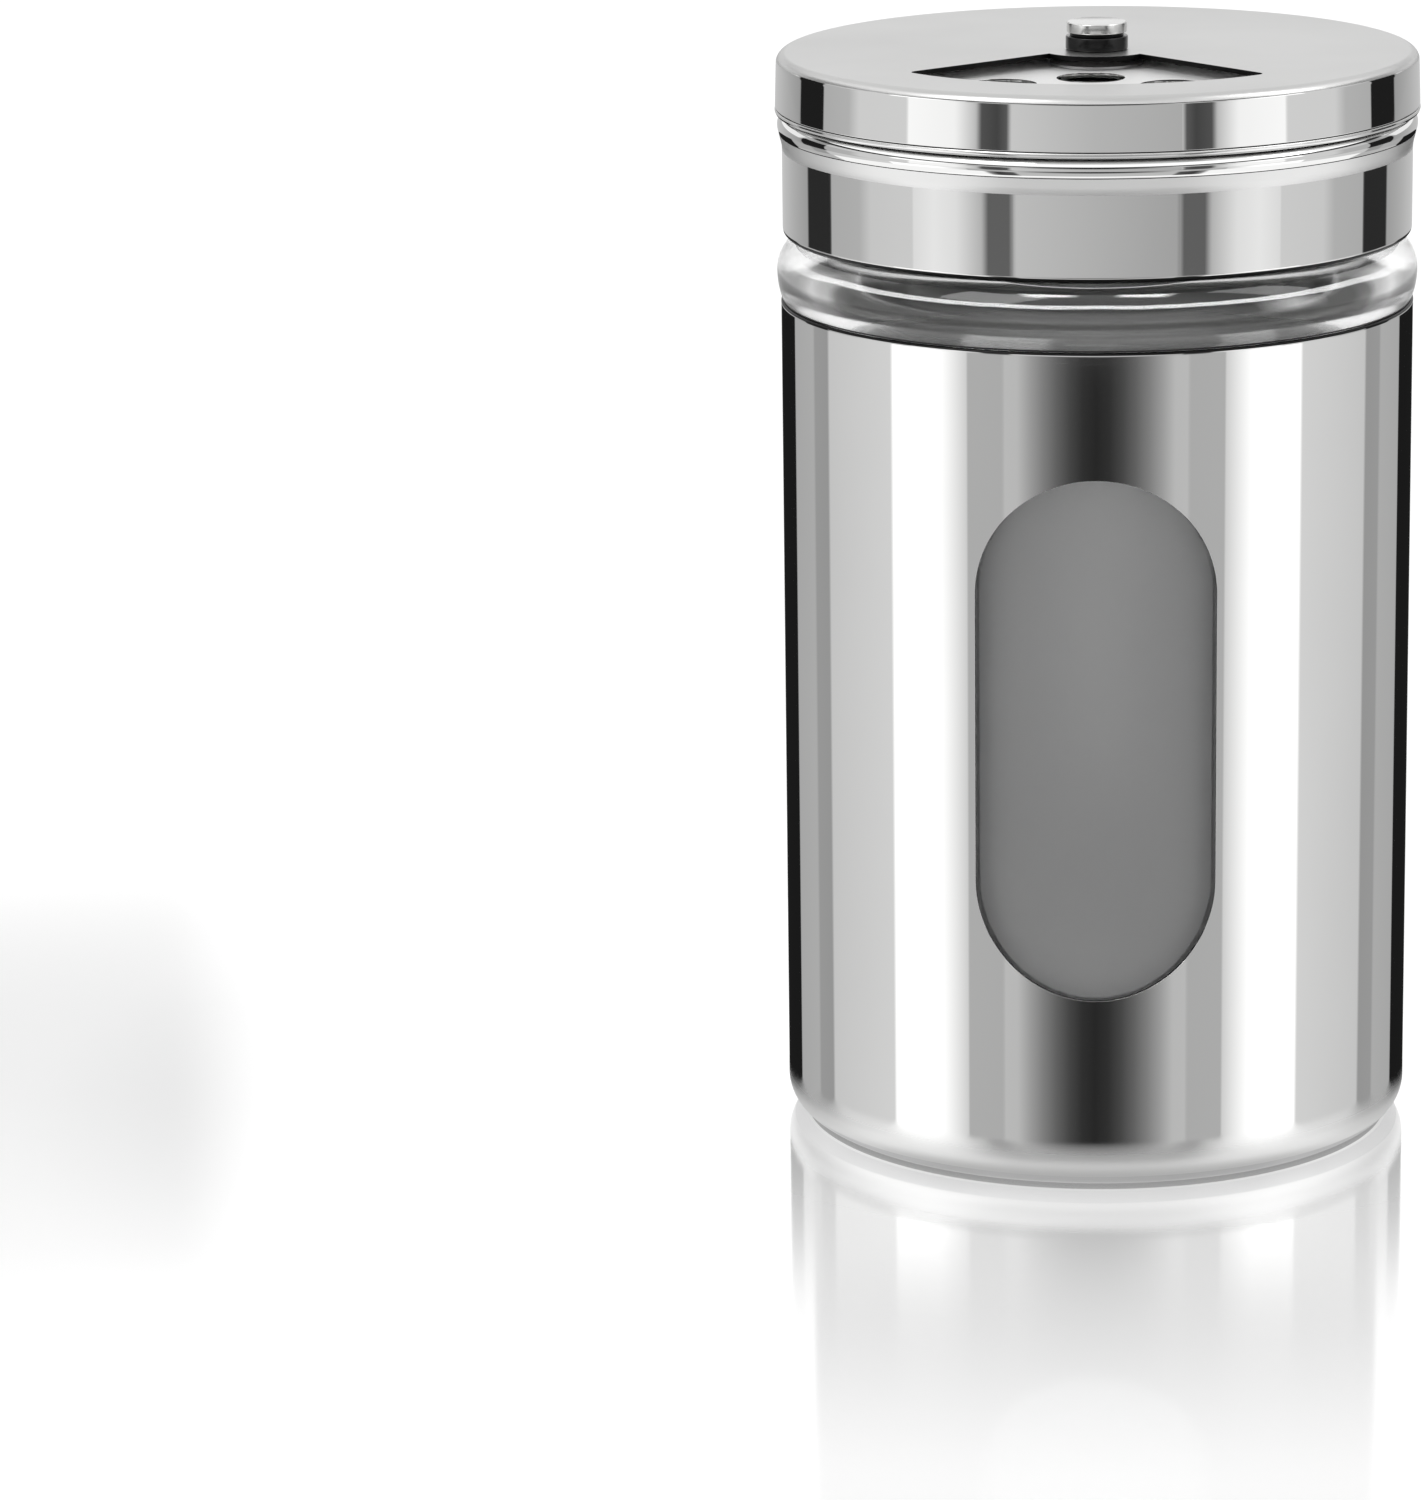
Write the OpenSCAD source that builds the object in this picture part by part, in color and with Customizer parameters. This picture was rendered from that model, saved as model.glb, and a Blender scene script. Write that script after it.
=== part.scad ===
// Table-top spice shaker: a threaded glass jar in a steel sleeve with a viewing window, closed by a
// screw lid whose top is a turning dial over a plate of shaker holes. Millimetres, +Z up, origin on
// the table under the middle of the shaker, window towards -Y.

/* [Sleeve] */
// Outside diameter of the steel sleeve
sleeve_d = 59.3; // [57:0.1:59.8]
// Height of the sleeve above the table
sleeve_h = 79; // [70:0.5:95]
// Thickness of the pressed steel sheet
sheet_t = 0.45; // [0.35:0.05:0.55]
// Radius of the sleeve's bottom corner
sleeve_corner = 3; // [2:0.25:4]
// Width of the flat ring that the sleeve stands on
foot_w = 3.6; // [2.5:0.1:5]
// Width of the window in the sleeve
window_w = 22; // [16:0.5:26]
// Length of the window, end to end
window_len = 48.9; // [35:0.1:50]
// Height of the window's lower end above the table
window_low = 18.4; // [14:0.1:20]

/* [Glass jar] */
// Thickness of the glass wall
glass_t = 2.3; // [1.8:0.1:3]
// Thickness of the glass base at its middle
glass_base_t = 4; // [3:0.5:6]
// Diameter of the glass bead above the sleeve
bead_d = 60; // [59.9:0.1:61]
// Outside diameter of the neck, without its thread
neck_d = 51.2; // [49:0.1:51.6]
// Height of the neck's rim above the sleeve's top edge
neck_rise = 20.25; // [19.5:0.05:22]

/* [Screw thread] */
// Rise of the thread in one turn
thread_pitch = 4.2; // [4:0.1:5]
// Height of the thread's ridge
thread_ridge = 1.05; // [0.8:0.05:1.2]
// Turns of thread on the glass neck
thread_turns = 1.5; // [1:0.05:1.6]

/* [Lid] */
// Outside diameter of the lid's plain lower band
band_d = 58.9; // [58.4:0.1:60]
// Gap between the sleeve's top edge and the lid's lower edge, where the bead shows
bead_gap = 6.2; // [6:0.1:7]
// Diameter of the large shaker holes
large_hole_d = 6.3; // [4.5:0.1:6.5]
// Diameter of the fine shaker holes
fine_hole_d = 2.6; // [1.5:0.1:3]
// Gap between the plate and the dial
dial_gap = 0.95; // [0.8:0.05:1.2]
// How far the lid's pattern is turned from the sleeve's window
lid_turned = -3.5; // [-10:0.5:10]

/* [Dial] */
// Outside diameter of the turning dial
dial_d = 60.2; // [59.8:0.1:61]
// Height of the dial's skirt
dial_h = 5.6; // [5:0.1:6]
// Radius of the dial's top corner
dial_corner = 1.1; // [0.8:0.1:1.5]
// Inner radius of the dial's opening
opening_in = 5.3; // [5:0.1:7]
// Outer radius of the dial's opening
opening_out = 22.4; // [20:0.1:23]
// Clearance that widens each straight side of the quarter opening
opening_ease = 0.7; // [0.4:0.1:1.2]

/* [Rivet] */
// Diameter of the rivet's head
rivet_head_d = 5.6; // [4.5:0.1:6]
// Diameter of the rivet's shank
rivet_d = 3; // [2.5:0.1:3.2]
// Height of the rivet's head above the dial
rivet_rise = 2.6; // [2.4:0.1:3]

/* [Hidden] */
$fn = 96;
eps = 0.01;

steel = [0.80, 0.80, 0.79];
dark_steel = [0.55, 0.55, 0.55];
clear_glass = [0.82, 0.87, 0.86, 0.4];
white_plastic = [0.92, 0.92, 0.90];
clear_seal = [0.88, 0.88, 0.86];

// Sleeve
sleeve_r = sleeve_d / 2;
foot_out = sleeve_r - sleeve_corner;
foot_in = foot_out - foot_w;
foot_curl = 0.6;
window_end_r = window_w / 2;
window_high = window_low + window_len;

// Glass jar, from its base up. sleeve_slip and foot_slip keep it off the sleeve.
sleeve_slip = 0.1;
foot_slip = 0.02;
glass_r = sleeve_r - sheet_t - sleeve_slip;
glass_in_r = glass_r - glass_t;
glass_foot_corner = sleeve_corner + 0.3;
glass_floor_corner = 5;
glass_bottom = sheet_t + foot_slip;
glass_floor = glass_bottom + glass_base_t;
punt_r = foot_in + 1.3;
punt_h = 1.8;
punt_dome_r = (punt_r * punt_r + punt_h * punt_h) / (2 * punt_h);
bead_r = bead_d / 2;
bead_rise = 3.6;
bead_z = sleeve_h + bead_rise;
bead_top_r = 2.8;
bead_low_r = 5;
shoulder_z = bead_z + bead_top_r;
wall_top = bead_z - sqrt(pow(bead_low_r, 2) - pow(glass_r - bead_r + bead_low_r, 2));
neck_r = neck_d / 2;
neck_wall = glass_t + 0.1;
neck_in_r = neck_r - neck_wall;
neck_in_round = 2;
neck_in_z = bead_z - 0.6;
rim_z = sleeve_h + neck_rise;
rim_round = 0.9;
ceiling_round = 5;

// Thread: one ridge on the neck, one in the insert. Each ridge's foot is thread_sink deep in its own
// wall, and its crest stays thread_clear away from the other wall.
thread_sink = 0.3;
thread_clear = 0.3;
thread_rise = 9.5;
thread_low_z = sleeve_h + thread_rise;
thread_foot = 0.95;
thread_tip = 0.4;
thread_step = 5;
thread_fade = 40;
thread_start = 0.12;

// Lid: the heights of its seal, plate and dial. lay is the room left at each side of the seal.
lay = 0.05;
seal_z = rim_z + lay;
seal_t = 1;
plate_z = seal_z + seal_t + lay;
plate_top = plate_z + sheet_t;
dial_z = plate_top + dial_gap;
dial_top = dial_z + sheet_t;
dial_low = dial_top - dial_h;

// Dial
dial_r = dial_d / 2;
dial_flare = 0.15;
dial_shoulder_r = dial_r - dial_flare;
dial_side_gap = 0.3;
dial_hem_r = 0.3;
opening_corner = 0.9;

// Lid base: band with its curled edge, cone, ridge, and the collar inside the dial
band_r = band_d / 2;
band_z = sleeve_h + bead_gap;
hem_r = 0.6;
collar_r = dial_shoulder_r - sheet_t - dial_side_gap;
collar_corner = 1;
collar_join = 0.25;
ridge_out_r = dial_r - 0.22;
ridge_high_r = 1.2;
ridge_low_r = 2;
ridge_z = dial_low - 1.1;
crease_drop = 0.65;
crease_z = ridge_z - crease_drop;
cone_h = 1.25;
band_top = crease_z - cone_h;

// Shaker plate: four quarters, one for each setting of the dial
large_hole_spread = 31;
large_hole_far = 15.2;
large_hole_near = 8.9;
fine_rows = [[8.6, 1], [12.8, 2], [17.0, 3]];
fine_hole_gap = 5.2;
pour_in = 7.2;
pour_out = 21.4;
pour_half_angle = 37;
pour_corner = 1.5;

// Plastic thread insert, and the seal above the rim
insert_slip = 0.1;
insert_r = collar_r - sheet_t - insert_slip;
insert_in_r = neck_r + thread_ridge + thread_clear;
insert_low = shoulder_z + 0.6;
insert_high = plate_z - lay;
insert_lead = 0.5;
insert_corner = 0.5;
insert_thread_turns = 1.25;
insert_thread_drop = 1.5;
seal_r = insert_in_r - 0.12;
seal_in_r = neck_in_r + 0.25;

// Rivet and its washers
rivet_r = rivet_d / 2;
rivet_head_r = rivet_head_d / 2;
rivet_head_t = 1;
rivet_edge = 0.2;
rivet_neck_r = rivet_head_r - 0.3;
washer_r = rivet_head_r + 0.1;
washer_t = 1.25;
washer_edge = 0.15;
washer_lift = 0.04;
running_gap = 0.06;
spring_r = opening_in - 0.9;
spring_in_r = rivet_r + 0.15;
spring_t = 0.25;
backing_r = 4.4;
backing_t = 0.6;
tail_r = 2.4;
tail_t = 0.8;
tail_taper = 0.5;

// Half-plane pieces, x is the radius and y is the height

// A quarter of a bent sheet: centre, outside radius of the bend, and the quarter's signs
module bend(cx, cy, r, sx, sy) {
    translate([cx, cy]) intersection() {
        difference() {
            circle(r);
            circle(r - sheet_t);
        }
        quarter(r + 1, sx, sy);
    }
}

module quarter(s, sx, sy) {
    translate([sx < 0 ? -s : 0, sy < 0 ? -s : 0]) square(s);
}

module strip(x0, y0, x1, y1) {
    translate([x0, y0]) square([x1 - x0, y1 - y0]);
}

module ring(r_out, r_in, z, h) {
    translate([0, 0, z]) difference() {
        cylinder(r = r_out, h = h);
        translate([0, 0, -1]) cylinder(r = r_in, h = h + 2);
    }
}

// Sleeve

module sleeve_profile() {
    strip(sleeve_r - sheet_t, sleeve_corner, sleeve_r, sleeve_h);
    bend(foot_out, sleeve_corner, sleeve_corner, 1, -1);
    strip(foot_in, 0, foot_out, sheet_t);
    bend(foot_in, foot_curl, foot_curl, -1, -1);
}

module window_cutter() {
    depth = sleeve_r + 2;
    low = window_low + window_end_r;
    high = window_high - window_end_r;
    translate([-window_end_r, -depth, low]) cube([window_w, depth, high - low]);
    for (z = [low, high])
        translate([0, 0, z]) rotate([90, 0, 0]) cylinder(r = window_end_r, h = depth);
}

module steel_sleeve() {
    color(steel) difference() {
        rotate_extrude() sleeve_profile();
        window_cutter();
    }
}

// Glass jar

// One section of a helical ridge at angle a of the total turn. Its foot is at radius r0 and its crest
// at r1, and it fades out at both ends.
function ridge_section(r0, r1, z0, a, total) =
    let (grow = min(1, min(a, total - a) / thread_fade + thread_start),
         crest = r0 + (r1 - r0) * grow,
         z = z0 + thread_pitch * a / 360)
    [for (p = [[r0, -thread_foot], [crest, -thread_tip], [crest, thread_tip], [r0, thread_foot]])
        [p[0] * cos(a), p[0] * sin(a), z + p[1]]];

module helix_ridge(r0, r1, z0, turns) {
    count = round(turns * 360 / thread_step);
    total = count * thread_step;
    points = [for (i = [0 : count]) each ridge_section(r0, r1, z0, i * thread_step, total)];
    sides = [for (i = [0 : count - 1], k = [0 : 3])
        let (p = 4 * i + k, q = 4 * i + (k + 1) % 4)
        each [[p, q, q + 4], [p, q + 4, p + 4]]];
    last = 4 * count;
    ends = [[0, 2, 1], [0, 3, 2], [last, last + 1, last + 2], [last, last + 2, last + 3]];
    faces = concat(sides, ends);
    // A ridge that points inwards has its faces the other way round
    polyhedron(points, r1 > r0 ? faces : [for (f = faces) [f[0], f[2], f[1]]], convexity = 8);
}

module jar_outer_profile() {
    // Foot and wall
    strip(0, glass_bottom, glass_r - glass_foot_corner, wall_top);
    strip(0, glass_bottom + glass_foot_corner, glass_r, wall_top);
    translate([glass_r - glass_foot_corner, glass_bottom + glass_foot_corner])
        circle(glass_foot_corner);
    // Bead: a tight curve above its widest line and a slack one below
    intersection() {
        translate([bead_r - bead_top_r, bead_z]) circle(bead_top_r);
        strip(0, bead_z, bead_r + 1, shoulder_z);
    }
    intersection() {
        translate([bead_r - bead_low_r, bead_z]) circle(bead_low_r);
        strip(0, wall_top, bead_r + 1, bead_z);
    }
    strip(0, wall_top - eps, bead_r - bead_low_r, bead_z + eps);
    strip(0, bead_z - eps, bead_r - bead_top_r, shoulder_z);
    // Neck and rim
    strip(0, bead_z, neck_r, rim_z - rim_round);
    strip(0, rim_z - rim_round - eps, neck_r - rim_round, rim_z);
    translate([neck_r - rim_round, rim_z - rim_round]) circle(rim_round);
}

// The corner that a rounding of radius r takes away above the point (x, y), outwards of it
module rounded_off(x, y, r, up) {
    difference() {
        strip(x - eps, up ? y - eps : y - r, x + r, up ? y + r : y + eps);
        translate([x + r, up ? y + r : y - r]) circle(r);
    }
}

module jar_inner_profile() {
    low_corner = glass_in_r - glass_floor_corner;
    high_corner = glass_in_r - ceiling_round;
    strip(0, glass_floor + glass_floor_corner, glass_in_r, bead_z - ceiling_round);
    strip(0, glass_floor, low_corner, bead_z);
    translate([low_corner, glass_floor + glass_floor_corner]) circle(glass_floor_corner);
    strip(0, glass_floor, high_corner, bead_z);
    translate([high_corner, bead_z - ceiling_round]) circle(ceiling_round);
    // Neck bore, rounded where it opens into the jar and at the rim
    strip(0, glass_floor, neck_in_r, rim_z + 1);
    rounded_off(neck_in_r, neck_in_z, neck_in_round, true);
    rounded_off(neck_in_r, rim_z, rim_round, false);
    // The hollow under the base
    translate([0, glass_bottom + punt_h - punt_dome_r]) circle(punt_dome_r, $fn = 1440);
}

module glass_jar() {
    color(clear_glass) union() {
        rotate_extrude() intersection() {
            difference() {
                jar_outer_profile();
                jar_inner_profile();
            }
            strip(0, 0, bead_r + 1, rim_z + 1);
        }
        helix_ridge(neck_r - thread_sink, neck_r + thread_ridge, thread_low_z, thread_turns);
    }
}

// Lid base

// The upper or the lower part of the ridge under the dial, cut off at z0 and z1
module ridge_part(r, z0, z1) {
    intersection() {
        translate([ridge_out_r - r, ridge_z]) difference() {
            circle(r);
            circle(r - sheet_t);
        }
        strip(collar_r - sheet_t, z0, ridge_out_r + 1, z1);
    }
}

module lid_base_profile() {
    ridge_low_x = ridge_out_r - ridge_low_r;
    crease_out_r = ridge_low_x + sqrt(pow(ridge_low_r, 2) - pow(crease_drop, 2));
    crease_in_r = ridge_low_x + sqrt(pow(ridge_low_r - sheet_t, 2) - pow(crease_drop, 2));
    collar_rise = sqrt(pow(ridge_high_r, 2) - pow(collar_r - ridge_out_r + ridge_high_r, 2));
    bend(band_r - hem_r, band_z + hem_r, hem_r, 1, -1);
    strip(band_r - sheet_t, band_z + hem_r, band_r, band_top);
    polygon([[band_r - sheet_t, band_top], [band_r, band_top],
             [crease_out_r, crease_z], [crease_in_r, crease_z]]);
    ridge_part(ridge_low_r, crease_z, ridge_z);
    // The collar's wall starts a little inside the ridge, which runs on a little past its outer face
    ridge_part(ridge_high_r, ridge_z, ridge_z + collar_rise + 0.1);
    strip(collar_r - sheet_t, ridge_z + collar_rise - collar_join, collar_r,
          plate_top - collar_corner);
    bend(collar_r - collar_corner, plate_top - collar_corner, collar_corner, 1, 1);
    strip(0, plate_z, collar_r - collar_corner, plate_top);
}

// A quarter-turn sector of a ring with its two outer corners rounded. Its middle is along -Y. ease is
// how far each straight side lies outside the line from the centre.
module rounded_sector(r_in, r_out, half_angle, ease, corner) {
    side = ease - corner;
    reach = sqrt(pow(r_out - corner, 2) - side * side);
    // The wedge ends on the lines from the centre through the middles of the corner circles
    wedge_turn = half_angle + asin(side / (r_out - corner));
    far = 2 * r_out;
    difference() {
        union() {
            intersection() {
                circle(r_out);
                polygon([[0, 0], [-far * sin(wedge_turn), -far * cos(wedge_turn)],
                         [0, -far], [far * sin(wedge_turn), -far * cos(wedge_turn)]]);
            }
            for (s = [0, 1]) mirror([s, 0]) rotate(half_angle - 90) {
                translate([0, side - 1]) square([reach, corner + 1]);
                translate([reach, side]) circle(corner);
            }
        }
        circle(r_in);
    }
}

module large_holes() {
    for (a = [-large_hole_spread, large_hole_spread])
        rotate(a) translate([0, -large_hole_far]) circle(large_hole_d / 2);
    translate([0, -large_hole_near]) circle(large_hole_d / 2);
}

module fine_holes() {
    for (row = fine_rows, k = [0 : row[1] - 1])
        translate([(k - (row[1] - 1) / 2) * fine_hole_gap, -row[0]]) circle(fine_hole_d / 2);
}

// Quarters in the order that the dial meets them: large holes, fine holes, pouring gap, closed
module plate_openings() {
    large_holes();
    rotate(90) fine_holes();
    rotate(180) rounded_sector(pour_in, pour_out, pour_half_angle, 0, pour_corner);
    circle(rivet_r + running_gap);
}

module lid_base() {
    color(steel) rotate(lid_turned) difference() {
        rotate_extrude() lid_base_profile();
        translate([0, 0, plate_z - 1]) linear_extrude(sheet_t + 2) plate_openings();
    }
}

module thread_insert() {
    color(white_plastic) union() {
        rotate_extrude() difference() {
            strip(insert_in_r, insert_low, insert_r, insert_high);
            // Lead-in chamfer at the mouth, and one that clears the rounded corner under the plate
            translate([insert_in_r, insert_low]) rotate(45) square(insert_lead * sqrt(2), center = true);
            translate([insert_r, insert_high]) rotate(45) square(insert_corner * sqrt(2), center = true);
        }
        helix_ridge(insert_in_r + thread_sink, neck_r + thread_clear,
                    thread_low_z - insert_thread_drop, insert_thread_turns);
    }
}

module seal_ring() {
    color(clear_seal) ring(seal_r, seal_in_r, seal_z, seal_t);
}

// Dial

module dial_profile() {
    low = dial_low + dial_hem_r;
    high = dial_top - dial_corner;
    strip(0, dial_z, dial_shoulder_r - dial_corner, dial_top);
    bend(dial_shoulder_r - dial_corner, high, dial_corner, 1, 1);
    polygon([[dial_r - sheet_t, low], [dial_r, low], [dial_shoulder_r, high],
             [dial_shoulder_r - sheet_t, high]]);
    intersection() {
        translate([dial_r - dial_hem_r, low]) circle(dial_hem_r);
        strip(dial_r - 2 * dial_hem_r, dial_low, dial_r, low);
    }
}

module dial_cap() {
    color(steel) rotate(lid_turned) difference() {
        rotate_extrude() dial_profile();
        translate([0, 0, dial_z - 1]) linear_extrude(sheet_t + 2) {
            rounded_sector(opening_in, opening_out, 45, opening_ease, opening_corner);
            circle(rivet_r + running_gap);
        }
    }
}

// Rivet and washers

// A coned washer that presses the dial up against the washer over it
module spring_washer() {
    low = plate_top + washer_lift;
    high = dial_z - washer_lift;
    color(dark_steel) rotate_extrude()
        polygon([[spring_in_r, high - spring_t], [spring_r, low],
                 [spring_r, low + spring_t], [spring_in_r, high]]);
}

module top_washer() {
    z = dial_top + washer_lift;
    color(steel) rotate_extrude() difference() {
        strip(rivet_r + running_gap, z, washer_r, z + washer_t);
        for (y = [z, z + washer_t])
            translate([washer_r, y]) rotate(45) square(washer_edge * sqrt(2), center = true);
    }
}

module backing_washer() {
    z = plate_z - washer_lift - backing_t;
    color(steel) ring(backing_r, rivet_r + running_gap, z, backing_t);
}

module pivot_rivet() {
    head_z = dial_top + rivet_rise - rivet_head_t;
    neck_z = dial_top + 2 * washer_lift + washer_t;
    tail_z = plate_z - 2 * washer_lift - backing_t - tail_t;
    color(steel) rotate_extrude() union() {
        strip(0, tail_z, rivet_r, head_z + eps);
        strip(0, neck_z, rivet_neck_r, head_z + eps);
        difference() {
            strip(0, head_z, rivet_head_r, head_z + rivet_head_t);
            for (y = [head_z, head_z + rivet_head_t])
                translate([rivet_head_r, y]) rotate(45)
                    square(rivet_edge * sqrt(2), center = true);
        }
        polygon([[0, tail_z], [tail_r - tail_taper, tail_z], [tail_r, tail_z + tail_t / 2],
                 [tail_r, tail_z + tail_t], [0, tail_z + tail_t]]);
    }
}

steel_sleeve();
glass_jar();
lid_base();
thread_insert();
seal_ring();
dial_cap();
spring_washer();
top_washer();
backing_washer();
pivot_rivet();
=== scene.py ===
"""A table-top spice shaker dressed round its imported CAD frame: glass jar, steel sleeve with a window,
and a screw lid with a turning dial. Metres, +Z up, window and dial opening towards -Y."""

import math

import bmesh
import bpy
from mathutils import Matrix, Vector


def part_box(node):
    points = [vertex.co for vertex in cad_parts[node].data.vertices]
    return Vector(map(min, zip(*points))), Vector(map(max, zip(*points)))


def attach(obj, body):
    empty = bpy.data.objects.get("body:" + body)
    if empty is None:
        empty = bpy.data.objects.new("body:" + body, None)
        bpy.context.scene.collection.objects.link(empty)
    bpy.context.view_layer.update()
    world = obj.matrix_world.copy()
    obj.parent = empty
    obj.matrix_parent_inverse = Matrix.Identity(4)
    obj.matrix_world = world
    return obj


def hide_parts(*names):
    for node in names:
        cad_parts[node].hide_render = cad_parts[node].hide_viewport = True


bl_info = {
    "name": "Spice shaker",
    "version": (1, 0, 0),
    "blender": (4, 5, 0),
    "location": "3D View > Sidebar > Shaker",
    "description": "Builds a table-top spice shaker piece by piece, with its studio stage",
    "category": "Object",
}

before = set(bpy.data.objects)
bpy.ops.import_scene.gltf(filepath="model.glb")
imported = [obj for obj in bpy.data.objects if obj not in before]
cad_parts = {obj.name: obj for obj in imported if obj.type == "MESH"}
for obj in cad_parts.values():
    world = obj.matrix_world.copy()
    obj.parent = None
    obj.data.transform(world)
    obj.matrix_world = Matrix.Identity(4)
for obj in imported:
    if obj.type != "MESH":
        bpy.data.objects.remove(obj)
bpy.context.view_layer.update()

MM = 0.001
# Points nearer than this are one, and faces are chosen by their place with this much room
SAME = 1e-6
ROOM = 0.01 * MM


def reach(node):
    """Radius of a round CAD node that stands on the shaker's axis."""
    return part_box(node)[1].x


def foot(node):
    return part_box(node)[0].z


def head(node):
    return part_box(node)[1].z


# Sizes and colours


def length(name, description, default):
    return bpy.props.FloatProperty(
        name=name, description=description, default=default, min=0.0,
        precision=5, subtype="DISTANCE", unit="LENGTH",
    )


def angle(name, description, degrees):
    return bpy.props.FloatProperty(
        name=name, description=description, default=math.radians(degrees), subtype="ANGLE", unit="ROTATION",
    )


def share(name, description, default):
    return bpy.props.FloatProperty(
        name=name, description=description, default=default, min=0.0, max=1.0, subtype="FACTOR",
    )


def number(name, description, default, unit="NONE"):
    return bpy.props.FloatProperty(name=name, description=description, default=default, unit=unit)


def colour(name, description, default):
    return bpy.props.FloatVectorProperty(
        name=name, description=description, default=default, min=0.0, max=1.0, size=3, subtype="COLOR",
    )


class SleeveSizes(bpy.types.PropertyGroup):
    radius: length("Radius", "Outside radius of the sleeve", reach("steel_sleeve"))
    height: length("Height", "Height of the sleeve", head("steel_sleeve"))
    sheet: length("Sheet", "Thickness of the pressed steel sheet", 0.45 * MM)
    corner: length("Bottom corner", "Radius of the rounded bottom corner", 3 * MM)
    foot_width: length("Foot ring", "Width of the flat ring the sleeve stands on", 3.6 * MM)
    foot_curl: length("Foot curl", "Radius of the foot ring's turned-up inner edge", 0.6 * MM)
    window_width: length("Window width", "Width of the viewing window", 22 * MM)
    window_length: length("Window length", "Length of the viewing window, end to end", 48.9 * MM)
    window_low: length("Window height", "Height of the window's lower end", 18.4 * MM)
    window_edge: length("Window edge", "Rounding of the window's stamped edge", 0.07 * MM)


class JarSizes(bpy.types.PropertyGroup):
    radius: length("Radius", "Outside radius of the jar inside the sleeve", 29.1 * MM)
    wall: length("Wall", "Thickness of the glass wall", 2.3 * MM)
    bottom: length("Bottom", "Height of the glass above the table", foot("glass_jar"))
    base: length("Base", "Thickness of the glass base", 4 * MM)
    foot_corner: length("Foot corner", "Radius of the jar's bottom corner", 3.3 * MM)
    inner_corner: length("Inner corner", "Radius inside the jar, at the floor and the shoulder", 5 * MM)
    hollow_radius: length("Hollow radius", "Radius of the shallow hollow under the base", 24.35 * MM)
    hollow_depth: length("Hollow depth", "Depth of the hollow under the base", 1.8 * MM)
    bead_radius: length("Bead radius", "Largest radius of the glass bead", reach("glass_jar"))
    bead_height: length("Bead height", "Height of the bead's widest line", 81.7 * MM)
    bead_upper: length("Bead, upper curve", "Radius of the bead's curve above its widest line", 3.7 * MM)
    bead_lower: length("Bead, lower curve", "Radius of the bead's curve below its widest line", 7 * MM)
    ledge: length("Ledge", "Height of the bead's underside, just clear of the sleeve", 79.03 * MM)
    ceiling: length("Ceiling", "Height at which the jar's inside starts to curve in to the neck", 77.6 * MM)
    neck_radius: length("Neck radius", "Outside radius of the neck", 25.6 * MM)
    bore_radius: length("Bore radius", "Inside radius of the neck", 23.2 * MM)
    rim_height: length("Rim height", "Height of the neck's rim", head("glass_jar"))
    rim_round: length("Rim rounding", "Radius of the rim's fire-polished edges", 0.9 * MM)


class ThreadSizes(bpy.types.PropertyGroup):
    pitch: length("Pitch", "Rise of the thread in one turn", 4.2 * MM)
    ridge: length("Ridge", "Height of the thread's ridge over the neck", 1.05 * MM)
    sink: length("Sink", "How deep the ridge's foot lies in its wall", 0.3 * MM)
    clear: length("Clearance", "Room between a ridge and the other wall", 0.3 * MM)
    foot: length("Foot", "Half the width of the ridge at its foot", 0.95 * MM)
    tip: length("Tip", "Half the width of the ridge at its crest", 0.4 * MM)
    start: length("Start", "Height at which the neck's thread starts", 88.5 * MM)
    drop: length("Drop", "How far the insert's thread starts below the neck's", 1.5 * MM)
    neck_turns: number("Neck turns", "Turns of thread on the neck", 1.5)
    insert_turns: number("Insert turns", "Turns of thread in the insert", 1.25)


class LidSizes(bpy.types.PropertyGroup):
    band_radius: length("Band radius", "Outside radius of the plain lower band", 29.45 * MM)
    low: length("Lower edge", "Height of the lid's lower edge", foot("lid_base"))
    band_top: length("Band top", "Height at which the band opens into the cone", 93.6 * MM)
    hem: length("Hem", "Radius of the band's curled lower edge", 0.6 * MM)
    sheet: length("Sheet", "Thickness of the lid's sheet", 0.45 * MM)
    ridge_radius: length("Ridge radius", "Largest radius of the ridge under the dial", reach("lid_base"))
    ridge_height: length("Ridge height", "Height of the ridge's widest line", 95.5 * MM)
    ridge_upper: length("Ridge, upper curve", "Radius of the ridge above its widest line", 1.2 * MM)
    ridge_lower: length("Ridge, lower curve", "Radius of the ridge below its widest line", 2 * MM)
    crease_drop: length("Crease", "Drop from the ridge's widest line to the crease", 0.65 * MM)
    crease: length("Crease depth", "Depth of the pressed line at the foot of the ridge", 0.08 * MM)
    collar_radius: length("Collar radius", "Outside radius of the collar inside the dial", 29.2 * MM)
    collar_corner: length("Collar corner", "Radius of the corner round the plate", 1 * MM)
    plate_top: length("Plate", "Height of the shaker plate's upper face", head("lid_base"))
    turned: angle("Turned", "How far the lid's pattern is turned from the sleeve's window", -3.5)
    large_hole: length("Large hole", "Radius of a large shaker hole", 3.15 * MM)
    fine_hole: length("Fine hole", "Radius of a fine shaker hole", 1.3 * MM)
    hole_edge: length("Hole edge", "Width of the rounded edge of the plate's holes", 0.18 * MM)
    insert_radius: length("Insert radius", "Outside radius of the thread insert", reach("thread_insert"))
    insert_bore: length("Insert bore", "Inside radius of the thread insert", 26.95 * MM)
    seal_bore: length("Seal bore", "Inside radius of the seal", 23.45 * MM)


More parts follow.
